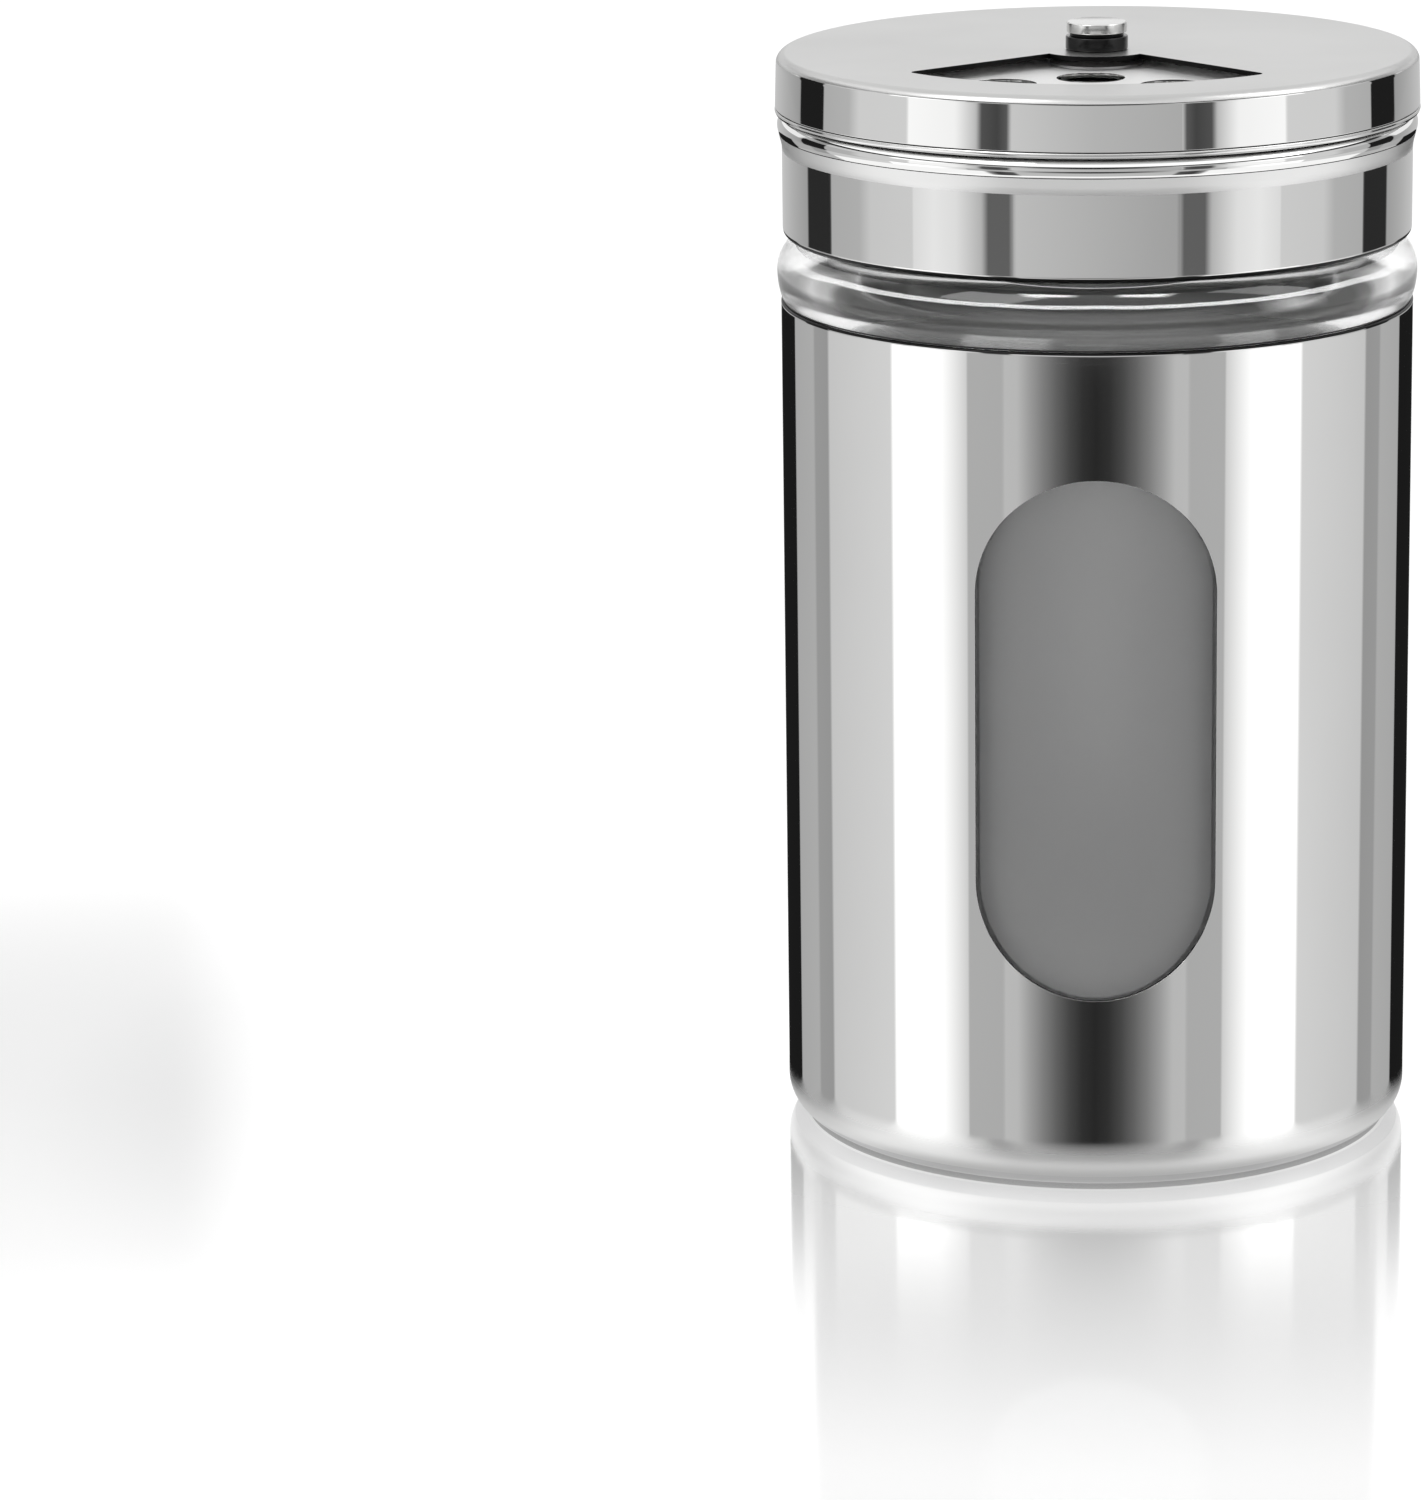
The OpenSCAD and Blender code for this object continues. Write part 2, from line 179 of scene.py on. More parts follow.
class DialSizes(bpy.types.PropertyGroup):
    radius: length("Radius", "Largest radius of the dial", reach("dial_cap"))
    top: length("Top", "Height of the dial's flat top", head("dial_cap"))
    low: length("Lower edge", "Height of the dial's hem", foot("dial_cap"))
    flare: length("Flare", "How much the skirt widens towards its hem", 0.15 * MM)
    corner: length("Corner", "Radius of the dial's top corner", 0.95 * MM)
    hem: length("Hem", "Radius of the rolled hem", 0.3 * MM)
    groove: length("Groove", "Depth of the groove over the hem", 0.1 * MM)
    opening_in: length("Opening, inner", "Inner radius of the quarter opening", 5.3 * MM)
    opening_out: length("Opening, outer", "Outer radius of the quarter opening", 22.4 * MM)
    opening_ease: length("Opening ease", "How far each side lies outside the quarter's line", 0.7 * MM)
    opening_corner: length("Opening corner", "Radius of the opening's outer corners", 0.9 * MM)
    opening_edge: length("Opening edge", "Width of the opening's broken edge", 0.07 * MM)


class RivetSizes(bpy.types.PropertyGroup):
    top: length("Top", "Height of the rivet's head", head("pivot_rivet"))
    head_radius: length("Head radius", "Radius of the rivet's head", 2.8 * MM)
    head_height: length("Head height", "Height of the rivet's head", 1 * MM)
    neck_radius: length("Neck radius", "Radius of the neck under the head", 2.5 * MM)
    shank_radius: length("Shank radius", "Radius of the shank", 1.5 * MM)
    tail_radius: length("Tail radius", "Radius of the spread tail", 2.4 * MM)
    tail_height: length("Tail height", "Height of the spread tail", 0.8 * MM)
    washer_radius: length("Disc radius", "Radius of the disc under the head", 2.9 * MM)
    running_gap: length("Running gap", "Clearance round the shank", 0.06 * MM)
    spring_thickness: length("Spring", "Thickness of the coned washer", 0.25 * MM)


class Finishes(bpy.types.PropertyGroup):
    polished: colour("Polished steel", "Mirror polished sleeve and lid sides", (0.80, 0.80, 0.795))
    satin: colour("Satin steel", "Fine satin top of the dial", (0.575, 0.575, 0.57))
    # Painted light: the plate gets a near-white, barely metallic steel so it reads lit in the dial's shade
    plate: colour("Plate steel", "Bright shaker plate under the dial", (0.90, 0.90, 0.895))
    inside: colour("Drawn steel", "Unpolished inner faces of the pressed sheet", (0.74, 0.74, 0.74))
    # Near-black of painted shade, for grooves, gaps, hems, cut edges, the rivet's neck and the jar's seam
    painted_shade: colour("Painted shade", "Steel in grooves and on raw cut edges", (0.02, 0.02, 0.02))
    turned: colour("Turned steel", "Rivet and its discs", (0.70, 0.70, 0.69))
    oxide: colour("Oxide finish", "Darkened steel discs on the rivet", (0.035, 0.035, 0.035))
    spring: colour("Spring steel", "Coned washer", (0.38, 0.38, 0.38))
    glass: colour("Glass", "Clear pressed glass", (0.99, 0.992, 0.991))
    plastic: colour("White plastic", "Thread insert", (0.86, 0.86, 0.84))
    seal: colour("Seal", "Milky silicone seal", (0.80, 0.81, 0.79))
    marks: share("Marks", "How strongly handling has marked the polished steel", 0.5)


class StageSettings(bpy.types.PropertyGroup):
    camera_back: length("Camera distance", "Level distance from the axis to the camera", 0.59951)
    camera_height: length("Camera height", "Height of the camera above the table", 0.18852)
    camera_yaw: angle("Camera yaw", "Turn of the camera towards -X", 3.51)
    camera_pitch: angle("Camera pitch", "How far the camera looks down", 14.37)
    camera_roll: angle("Camera roll", "Roll of the camera", -0.78)
    lens: number("Lens", "Focal length of the camera, in millimetres", 154.76, "CAMERA")
    floor_size: length("Floor", "Side of the square floor", 12.0)
    floor_colour: colour("Floor colour", "Pale floor", (0.90, 0.90, 0.90))
    floor_lift: share("Floor lift", "Light added to the floor's picture, up to white", 0.28)
    gloss: share("Gloss", "Mirror share of the floor at the shaker's foot", 0.85)
    gloss_reach: length("Gloss reach", "Distance from the axis at which the floor's gloss ends", 0.105)
    surround: share("Surround", "Level of the plain light from all round", 0.62)
    key_power: number("Key lamp", "Power of the large soft lamp", 3.2, "POWER")
    fill_power: number("Fill lamp", "Power of the smaller soft lamp", 1.6, "POWER")


SETTINGS = {
    "shaker_sleeve": SleeveSizes,
    "shaker_jar": JarSizes,
    "shaker_thread": ThreadSizes,
    "shaker_lid": LidSizes,
    "shaker_dial": DialSizes,
    "shaker_rivet": RivetSizes,
    "shaker_finishes": Finishes,
    "shaker_stage": StageSettings,
}

# Modelling


def arc(x, z, radius, start, end, steps):
    """Points (radius, height) of an arc round (x, z) from the angle start to the angle end, in degrees."""
    turns = [math.radians(start + (end - start) * k / steps) for k in range(steps + 1)]
    return [(x + radius * math.cos(a), z + radius * math.sin(a)) for a in turns]


def select_only(piece):
    bpy.ops.object.select_all(action="DESELECT")
    piece.select_set(True)
    bpy.context.view_layer.objects.active = piece


def pick(piece, test, kind="VERT"):
    """In edit mode, selects the vertices, edges or faces for which test is true. Returns how many."""
    mesh = bmesh.from_edit_mesh(piece.data)
    bpy.ops.mesh.select_all(action="DESELECT")
    bpy.ops.mesh.select_mode(type=kind)
    parts = {"VERT": mesh.verts, "EDGE": mesh.edges, "FACE": mesh.faces}[kind]
    found = [part for part in parts if test(part)]
    for part in found:
        part.select_set(True)
    mesh.select_flush_mode()
    bmesh.update_edit_mesh(piece.data)
    return len(found)


def draw_line(name, points, closed):
    """A new piece that is one line of vertices, extruded from point to point. It is left in edit mode."""
    bpy.ops.object.select_all(action="DESELECT")
    bpy.ops.mesh.primitive_plane_add(size=MM, location=(0, 0, 0))
    piece = bpy.context.object
    piece.name = piece.data.name = name
    bpy.ops.object.mode_set(mode="EDIT")
    bpy.ops.mesh.select_mode(type="VERT")
    bpy.ops.mesh.select_all(action="SELECT")
    bpy.ops.mesh.merge(type="CENTER")
    points = [Vector(p) for p in points]
    bpy.ops.transform.translate(value=points[0])
    for here, there in zip(points, points[1:]):
        bpy.ops.mesh.extrude_region_move(TRANSFORM_OT_translate={"value": there - here})
    if closed:
        ends = (points[0], points[-1])
        pick(piece, lambda v: any((v.co - end).length < SAME for end in ends))
        bpy.ops.mesh.edge_face_add()
    return piece


def revolve(name, profile, closed, segments, rounded=()):
    """Spins a profile of (radius, height) points round the axis into a closed piece. rounded lists
    profile corners as (number of the point, width), which are rounded before the spin."""
    piece = draw_line(name, [(x, 0, z) for x, z in profile], closed)
    for corner, width in sorted(rounded, reverse=True):
        place = Vector((profile[corner][0], 0, profile[corner][1]))
        pick(piece, lambda v: (v.co - place).length < SAME)
        bpy.ops.mesh.bevel(offset=width, segments=5, affect="VERTICES")
    bpy.ops.mesh.select_mode(type="VERT")
    bpy.ops.mesh.select_all(action="SELECT")
    bpy.ops.mesh.spin(steps=segments, angle=math.tau, center=(0, 0, 0), axis=(0, 0, 1))
    bpy.ops.mesh.select_all(action="SELECT")
    bpy.ops.mesh.remove_doubles(threshold=SAME)
    bpy.ops.mesh.normals_make_consistent(inside=False)
    bpy.ops.object.mode_set(mode="OBJECT")
    return piece


def prism(name, outline, rise):
    """A closed flat outline of 3-D points, filled and extruded by the vector rise."""
    piece = draw_line(name, outline, closed=True)
    bpy.ops.mesh.select_all(action="SELECT")
    bpy.ops.mesh.edge_face_add()
    bpy.ops.mesh.extrude_region_move(TRANSFORM_OT_translate={"value": rise})
    bpy.ops.mesh.select_all(action="SELECT")
    bpy.ops.mesh.normals_make_consistent(inside=False)
    bpy.ops.object.mode_set(mode="OBJECT")
    return piece


def apply_modifier(piece, kind, **settings):
    select_only(piece)
    modifier = piece.modifiers.new(kind.title(), kind)
    for key, value in settings.items():
        setattr(modifier, key, value)
    bpy.ops.object.modifier_apply(modifier=modifier.name)


def combine(piece, other, operation):
    """Cuts or joins another piece into this one, and removes the other."""
    apply_modifier(piece, "BOOLEAN", operation=operation, solver="EXACT", object=other)
    bpy.data.objects.remove(other)


def merge_pieces(pieces):
    select_only(pieces[0])
    for piece in pieces[1:]:
        piece.select_set(True)
    bpy.ops.object.join()
    return pieces[0]


def copy_turned(piece, turn):
    """A copy with its own mesh, turned about the shaker's axis."""
    select_only(piece)
    bpy.ops.object.duplicate()
    made = bpy.context.object
    bpy.ops.object.mode_set(mode="EDIT")
    bpy.ops.mesh.select_all(action="SELECT")
    bpy.ops.transform.rotate(value=turn, orient_axis="Z", center_override=(0, 0, 0))
    bpy.ops.object.mode_set(mode="OBJECT")
    return made


def face_height(face):
    """Height of a face's middle."""
    return face.calc_center_median().z


def face_radius(face):
    """Distance of a face's middle from the shaker's axis."""
    return face.calc_center_median().xy.length


def spans(face, low, high):
    """True if all of a face's vertices lie between two heights."""
    return all(low < v.co.z < high for v in face.verts)


def clear_flats(piece, heights):
    """Dissolves the spin's lines across the level faces at these heights, so they are whole sheets."""
    select_only(piece)
    bpy.ops.object.mode_set(mode="EDIT")
    level = 0.9999
    for height in heights:
        pick(piece, lambda f: abs(f.normal.z) > level and abs(face_height(f) - height) < SAME, "FACE")
        bpy.ops.mesh.dissolve_limited(angle_limit=math.radians(0.2))
    bpy.ops.object.mode_set(mode="OBJECT")


def break_edges(piece, test, width, sharp=1.0):
    """Rounds the edges that turn by more than sharp and have both ends where test is true."""
    select_only(piece)
    bpy.ops.object.mode_set(mode="EDIT")
    if not pick(piece, lambda e: all(test(v) for v in e.verts) and e.calc_face_angle(0) > sharp, "EDGE"):
        raise RuntimeError(f"{piece.name}: there is no edge to round")
    bpy.ops.mesh.bevel(offset=width, segments=3, affect="EDGES", clamp_overlap=True)
    bpy.ops.object.mode_set(mode="OBJECT")


def helical_ridge(name, wall, crest, start, turns, thread):
    """A thread's ridge from its foot at radius wall to its crest, which fades into the wall at both ends."""
    steps_per_turn, fade, end_height = 72, 8, 0.12
    section = [(wall, start - thread.foot), (crest, start - thread.tip), (crest, start + thread.tip),
               (wall, start + thread.foot)]
    piece = draw_line(name, [(x, 0, z) for x, z in section], closed=True)
    pick(piece, lambda v: abs(v.co.x - crest) < SAME)
    bpy.ops.mesh.bevel(offset=0.6 * thread.tip, segments=4, affect="VERTICES")
    bpy.ops.object.mode_set(mode="OBJECT")
    count = len(piece.data.vertices)
    steps = round(turns * steps_per_turn)
    apply_modifier(piece, "SCREW", axis="Z", angle=math.tau * turns, screw_offset=thread.pitch * turns,
                   steps=steps, render_steps=steps, use_smooth_shade=False)
    bpy.ops.object.mode_set(mode="EDIT")
    for ring in list(range(fade)) + list(range(steps - fade + 1, steps + 1)):
        near = min(ring, steps - ring)
        grown = end_height + (1 - end_height) * math.sin(math.pi / 2 * near / fade)
        radius = wall + (crest - wall) * grown
        first = ring * count
        # The foot's vertices stay in the wall
        pick(piece, lambda v: first <= v.index < first + count
             and abs(v.co.xy.length - wall) > abs(crest - wall) * 0.3)
        bpy.ops.transform.resize(value=(radius / crest, radius / crest, 1), center_override=(0, 0, 0))
    bpy.ops.mesh.select_all(action="SELECT")
    bpy.ops.mesh.fill_holes(sides=0)
    bpy.ops.mesh.select_all(action="SELECT")
    bpy.ops.mesh.normals_make_consistent(inside=False)
    bpy.ops.object.mode_set(mode="OBJECT")
    return piece


def shade(piece, sharp=35, weighted=True):
    """Smooth shading with crisp creases. Weighted normals keep the flats flat up to their rounded edges."""
    select_only(piece)
    bpy.ops.object.shade_smooth_by_angle(angle=math.radians(sharp))
    if weighted:
        apply_modifier(piece, "WEIGHTED_NORMAL", mode="FACE_AREA", weight=50, keep_sharp=True)


def copy_shading(piece, clean, test):
    """Takes the shading of the vertices for which test is true from the uncut piece, which it removes."""
    select_only(piece)
    piece.vertex_groups.new(name="wall")
    bpy.ops.object.mode_set(mode="EDIT")
    pick(piece, test)
    bpy.ops.object.vertex_group_assign()
    bpy.ops.object.mode_set(mode="OBJECT")
    apply_modifier(piece, "DATA_TRANSFER", object=clean, use_loop_data=True, vertex_group="wall",
                   data_types_loops={"CUSTOM_NORMAL"}, loop_mapping="POLYINTERP_NEAREST")
    bpy.data.objects.remove(clean)


def paint(piece, material, test=None):
    """Gives the whole piece a material, or adds one for the faces for which test is true."""
    select_only(piece)
    bpy.ops.object.material_slot_add()
    piece.material_slots[-1].material = material
    if test:
        piece.active_material_index = len(piece.material_slots) - 1
        bpy.ops.object.mode_set(mode="EDIT")
        if not pick(piece, test, "FACE"):
            raise RuntimeError(f"{piece.name}: no face for {material.name}")
        bpy.ops.object.material_slot_assign()
        bpy.ops.object.mode_set(mode="OBJECT")


def seat(piece, body, node):
    """Fixes the finished piece to its CAD body in place of its CAD node."""
    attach(piece, body)
    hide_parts(node)


# Finishes


def node(tree, kind, inputs=None, **settings):
    """A new shader node. inputs sets sockets by name or number, from values or from other nodes' outputs."""
    made = tree.nodes.new(kind)
    for key, value in settings.items():
        setattr(made, key, value)
    for key, value in (inputs or {}).items():
        if isinstance(value, bpy.types.NodeSocket):
            tree.links.new(value, made.inputs[key])
        else:
            made.inputs[key].default_value = value
    return made


def maths(tree, operation, *values):
    return node(tree, "ShaderNodeMath", dict(enumerate(values)), operation=operation).outputs[0]


def remap(tree, value, low, high, to_low=0.0, to_high=1.0):
    made = node(tree, "ShaderNodeMapRange", {"Value": value, "From Min": low, "From Max": high,
                                             "To Min": to_low, "To Max": to_high})
    return made.outputs["Result"]


def noise(tree, vector, stretch, scale, detail):
    """Noise over object coordinates, with a stretch for each axis."""
    place = node(tree, "ShaderNodeMapping", {"Vector": vector, "Scale": stretch}, vector_type="POINT")
    made = node(tree, "ShaderNodeTexNoise", {"Vector": place.outputs[0], "Scale": scale, "Detail": detail})
    return made.outputs["Fac"]


def new_group(name, inputs, outputs):
    """An empty shader group with named number inputs (and a Vector) and named outputs."""
    group = bpy.data.node_groups.new(name, "ShaderNodeTree")
    group.interface.new_socket(name="Vector", in_out="INPUT", socket_type="NodeSocketVector")
    for socket, default in inputs.items():
        made = group.interface.new_socket(name=socket, in_out="INPUT", socket_type="NodeSocketFloat")
        made.default_value = default
    for socket in outputs:
        group.interface.new_socket(name=socket, in_out="OUTPUT", socket_type="NodeSocketFloat")
    start = group.nodes.new("NodeGroupInput")
    end = group.nodes.new("NodeGroupOutput")
    return group, start.outputs, end


def finish_group(group, end, **results):
    for socket, value in results.items():
        group.links.new(value, end.inputs[socket])
    return group


def polish_marks():
    """Faint smears, hairlines and polishing lines of handled steel."""
    group, start, end = new_group("Polish marks", {"Clean": 0.03, "Worn": 0.1, "Marks": 0.5},
                                  ("Roughness", "Height", "Smear"))
    vector = start["Vector"]
    smears = remap(group, noise(group, vector, (1, 1, 0.6), 70, 4), 0.45, 0.8)
    lines = noise(group, vector, (1, 1, 60), 160, 2)
    hairs = remap(group, noise(group, vector, (5, 5, 90), 60, 3), 0.70, 0.76)
    smeared = maths(group, "MULTIPLY", smears, start["Marks"])
    spread = maths(group, "SUBTRACT", start["Worn"], start["Clean"])
    soft = maths(group, "MULTIPLY_ADD", smeared, spread, start["Clean"])
    rough = maths(group, "MULTIPLY_ADD", maths(group, "MULTIPLY", hairs, start["Marks"]), 0.03, soft)
    height = maths(group, "MULTIPLY_ADD", hairs, -0.15, lines)
    return finish_group(group, end, Roughness=rough, Height=height, Smear=smeared)


def satin_grain():
    """The fine even grain of satin or bead-blasted steel, with worn-smooth patches."""
    group, start, end = new_group("Satin grain", {"Fine": 0.3, "Coarse": 0.4, "Size": 2600},
                                  ("Roughness", "Height", "Patch"))
    grain = node(group, "ShaderNodeTexNoise",
                 {"Vector": start["Vector"], "Scale": start["Size"], "Detail": 3.0})
    patches = remap(group, noise(group, start["Vector"], (1, 1, 1), 45, 3), 0.35, 0.7)
    spread = maths(group, "SUBTRACT", start["Coarse"], start["Fine"])
    rough = maths(group, "MULTIPLY_ADD", patches, spread, start["Fine"])
    return finish_group(group, end, Roughness=rough, Height=grain.outputs["Fac"], Patch=patches)


def turning_lines():
    """Rings left by a lathe round the shaker's axis."""
    group, start, end = new_group("Turning lines", {"Pitch": 9000.0}, ("Height",))
    part = node(group, "ShaderNodeSeparateXYZ", {"Vector": start["Vector"]}).outputs
    flat = node(group, "ShaderNodeCombineXYZ", {"X": part["X"], "Y": part["Y"]})
    radius = node(group, "ShaderNodeVectorMath", {0: flat.outputs[0]}, operation="LENGTH").outputs["Value"]
    across = node(group, "ShaderNodeCombineXYZ", {"X": radius, "Y": part["Z"]})
    rings = node(group, "ShaderNodeTexNoise",
                 {"Vector": across.outputs[0], "Scale": start["Pitch"], "Detail": 2.0})
    return finish_group(group, end, Height=rings.outputs["Fac"])


def group_node(tree, name, inputs):
    """Places a shared group, which is built the first time it is asked for."""
    builders = {"Polish marks": polish_marks, "Satin grain": satin_grain, "Turning lines": turning_lines}
    group = bpy.data.node_groups.get(name) or builders[name]()
    return node(tree, "ShaderNodeGroup", inputs, node_tree=group).outputs


def new_material(name):
    material = bpy.data.materials.new(name)
    material.use_nodes = True
    tree = material.node_tree
    shader = tree.nodes["Principled BSDF"]
    place = node(tree, "ShaderNodeTexCoord").outputs["Object"]
    return material, tree, shader, place


def tinted(tree, shader, base, mask, factor):
    """Base Color that darkens or lightens a little where the mask is full."""
    mix = node(tree, "ShaderNodeMix", {"Factor": mask}, data_type="RGBA")
    mix.inputs["A"].default_value = (*base, 1)
    mix.inputs["B"].default_value = (*[c * factor for c in base], 1)
    tree.links.new(mix.outputs["Result"], shader.inputs["Base Color"])


def bumped(tree, shader, height, strength, distance):
    bump = node(tree, "ShaderNodeBump", {"Height": height, "Strength": strength, "Distance": distance})
    tree.links.new(bump.outputs["Normal"], shader.inputs["Normal"])


def polished_steel(finishes):
    made = bpy.data.materials.get("polished_steel")
    if made:
        return made
    material, tree, shader, place = new_material("polished_steel")
    marks = group_node(tree, "Polish marks",
                       {"Vector": place, "Clean": 0.02, "Worn": 0.045, "Marks": finishes.marks})
    shader.inputs["Metallic"].default_value = 1
    tinted(tree, shader, finishes.polished, marks["Smear"], 0.95)
    # The corner that slides over the table has lost its polish
    height = node(tree, "ShaderNodeSeparateXYZ", {"Vector": place}).outputs["Z"]
    scuffed = remap(tree, height, 5.0 * MM, 2.6 * MM, 0.0, 0.42)
    tree.links.new(maths(tree, "ADD", marks["Roughness"], scuffed), shader.inputs["Roughness"])
    bumped(tree, shader, marks["Height"], 0.02, 0.00001)
    return material


def grained(name, base, rough, size, factor, bump, metallic=0.0, lines=None):
    """A surface with satin grain, built the first time it is asked for. rough is its roughness between
    the patches and in them, factor the patches' share of its colour, and bump the grain's strength and
    depth. lines is a noise to raise instead of the grain, as its stretch, scale and detail."""
    made = bpy.data.materials.get(name)
    if made:
        return made
    material, tree, shader, place = new_material(name)
    grain = group_node(tree, "Satin grain",
                       {"Vector": place, "Fine": rough[0], "Coarse": rough[1], "Size": size})
    shader.inputs["Metallic"].default_value = metallic
    tinted(tree, shader, base, grain["Patch"], factor)
    tree.links.new(grain["Roughness"], shader.inputs["Roughness"])
    bumped(tree, shader, noise(tree, place, *lines) if lines else grain["Height"], *bump)
    return material


def satin_steel(name, base, fine, metallic=1.0):
    return grained(name, base, (fine, fine * 1.2), 2600, 0.97, (0.05, 0.00002), metallic)


def painted_shade_steel(finishes):
    """Near-black steel: painted shade for grooves, gaps, hems, cut edges and the rivet's neck."""
    return grained("painted_shade_steel", finishes.painted_shade, (0.25, 0.5), 1800, 0.6, (0.1, 0.00002), 1)


def drawn_steel(finishes):
    """The dull inner faces of the sheet, with drawing lines up the wall."""
    return grained("drawn_steel", finishes.inside, (0.55, 0.7), 900, 0.85, (0.15, 0.00005), 1,
                   lines=((12, 12, 0.3), 120, 2))


# Painted shadow: near-black, a little lighter in patches, for the dark line where the bead meets the sleeve
def painted_seam_shadow(finishes):
    return grained("painted_seam_shadow", finishes.painted_shade, (0.5, 0.8), 1800, 1.6, (0.3, 0.00004))


def white_plastic(finishes):
    return grained("moulded_plastic", finishes.plastic, (0.38, 0.5), 1500, 0.97, (0.1, 0.00004))


def milky_seal(finishes):
    material = grained("milky_seal", finishes.seal, (0.45, 0.6), 1200, 0.95, (0.15, 0.00004))
    shader = material.node_tree.nodes["Principled BSDF"]
    shader.inputs["Subsurface Weight"].default_value = 0.4
    shader.inputs["Subsurface Radius"].default_value = (0.001, 0.001, 0.001)
    shader.inputs["Subsurface Scale"].default_value = 0.5
    return material


def turned_steel(name, base, rough):
    """Steel with turning lines, or the material of that name where the frame or the scene has one."""
    made = bpy.data.materials.get(name)
    if made:
        return made
    material, tree, shader, place = new_material(name)
    marks = group_node(tree, "Polish marks",
                       {"Vector": place, "Clean": rough, "Worn": rough + 0.15, "Marks": 0.7})
    rings = group_node(tree, "Turning lines", {"Vector": place, "Pitch": 9000.0})
    shader.inputs["Metallic"].default_value = 1
    tinted(tree, shader, base, marks["Smear"], 0.9)
    tree.links.new(marks["Roughness"], shader.inputs["Roughness"])
    bumped(tree, shader, rings["Height"], 0.08, 0.00002)
    return material


def clear_glass(finishes, name, haze, through):
    """Pressed glass. haze is the roughness of a film of fine spice dust, through the share it lets pass."""
    material, tree, shader, place = new_material(name)
    shader.inputs["Transmission Weight"].default_value = through
    shader.inputs["IOR"].default_value = 1.5
    shader.inputs["Specular IOR Level"].default_value = 0.9
    film = remap(tree, noise(tree, place, (1, 1, 1), 55, 3), 0.45, 0.8)
    tinted(tree, shader, finishes.glass, film, 0.985)
    tree.links.new(remap(tree, film, 0, 1, haze, 1.2 * haze + 0.003), shader.inputs["Roughness"])
    # Pressed glass is never quite even
    bumped(tree, shader, noise(tree, place, (1, 1, 0.7), 110, 1), 0.03, 0.0004)
    return material


# Pieces


class SHAKER_OT_steel_sleeve(bpy.types.Operator):
    """Spins the pressed sleeve and stamps its window"""

    bl_idname = "shaker.steel_sleeve"
    bl_label = "Steel sleeve"

    def execute(self, context):
        s = context.scene.shaker_sleeve
        finishes = context.scene.shaker_finishes
        foot_out = s.radius - s.corner
        foot_in = foot_out - s.foot_width
        half = s.sheet / 2
        # Rings of points next to the rounded ends keep the wall's shading straight
        support = 0.1 * MM
        profile = (
            arc(foot_in, s.foot_curl, s.foot_curl, 180, 270, 6)
            + arc(foot_out, s.corner, s.corner, 270, 360, 18)
            + [(s.radius, s.corner + support), (s.radius, s.height - half - support)]
            + arc(s.radius - half, s.height - half, half, 0, 180, 8)
            + arc(foot_out, s.corner, s.corner - s.sheet, 360, 270, 14)
            + arc(foot_in, s.foot_curl, s.foot_curl - s.sheet, 270, 180, 4)
        )
        piece = revolve("sleeve", profile, closed=True, segments=720)
        clean = copy_turned(piece, 0)
        shade(clean, weighted=False)
        combine(piece, self.window_punch(s), "DIFFERENCE")
        rim = s.window_width / 2
        middle = s.window_low + s.window_length / 2
        straight = s.window_length / 2 - rim

        def on_window(v):
            off = max(abs(v.co.z - middle) - straight, 0)
            outer = abs(v.co.xy.length - s.radius) < 0.4 * ROOM
            return v.co.y < 0 and outer and abs(math.hypot(v.co.x, off) - rim) < ROOM

        def on_cut(f):
            centre = f.calc_center_median()
            inside = abs(centre.x) < rim and abs(centre.z - middle) < s.window_length / 2 + 10 * ROOM
            return centre.y < 0 and inside and abs(f.normal.dot(centre.xy.normalized().to_3d())) < 0.3

        break_edges(piece, on_window, s.window_edge, sharp=0.6)
        shade(piece, weighted=False)
        copy_shading(piece, clean, lambda v: abs(v.co.xy.length - s.radius) < SAME
                     and s.corner < v.co.z < s.height - half)
        inner = s.radius - s.sheet * 0.9
        foot_top, table_line = 0.3 * MM, 0.34 * MM
        painted_shade = painted_shade_steel(finishes)
        paint(piece, polished_steel(finishes))
        paint(piece, drawn_steel(finishes),
              lambda f: all(v.co.xy.length < inner and v.co.z > foot_top for v in f.verts))
        # Painted shadow: the rolled top edge is painted near-black as the shade under the glass bead
        paint(piece, painted_shade, lambda f: all(v.co.z > s.height - half * 1.01 for v in f.verts))
        # Painted shadow: a near-black line along the foot where it meets the table
        paint(piece, painted_shade, lambda f: all(v.co.z < table_line and v.co.xy.length > foot_out for v in f.verts))
        # The window's cut walls are painted with the same near-black
        paint(piece, painted_shade, on_cut)
        seat(piece, "jar", "steel_sleeve")
        return {"FINISHED"}

    def window_punch(self, s):
        """The obround punch, which reaches from in front of the sleeve to near its axis."""
        end = s.window_width / 2
        low = s.window_low + end
        high = s.window_low + s.window_length - end
        front = -s.radius - 2 * MM
        outline = arc(0, high, end, 0, 180, 96) + arc(0, low, end, 180, 360, 96)
        return prism("window punch", [(x, front, z) for x, z in outline], (0, s.radius - 5 * MM, 0))


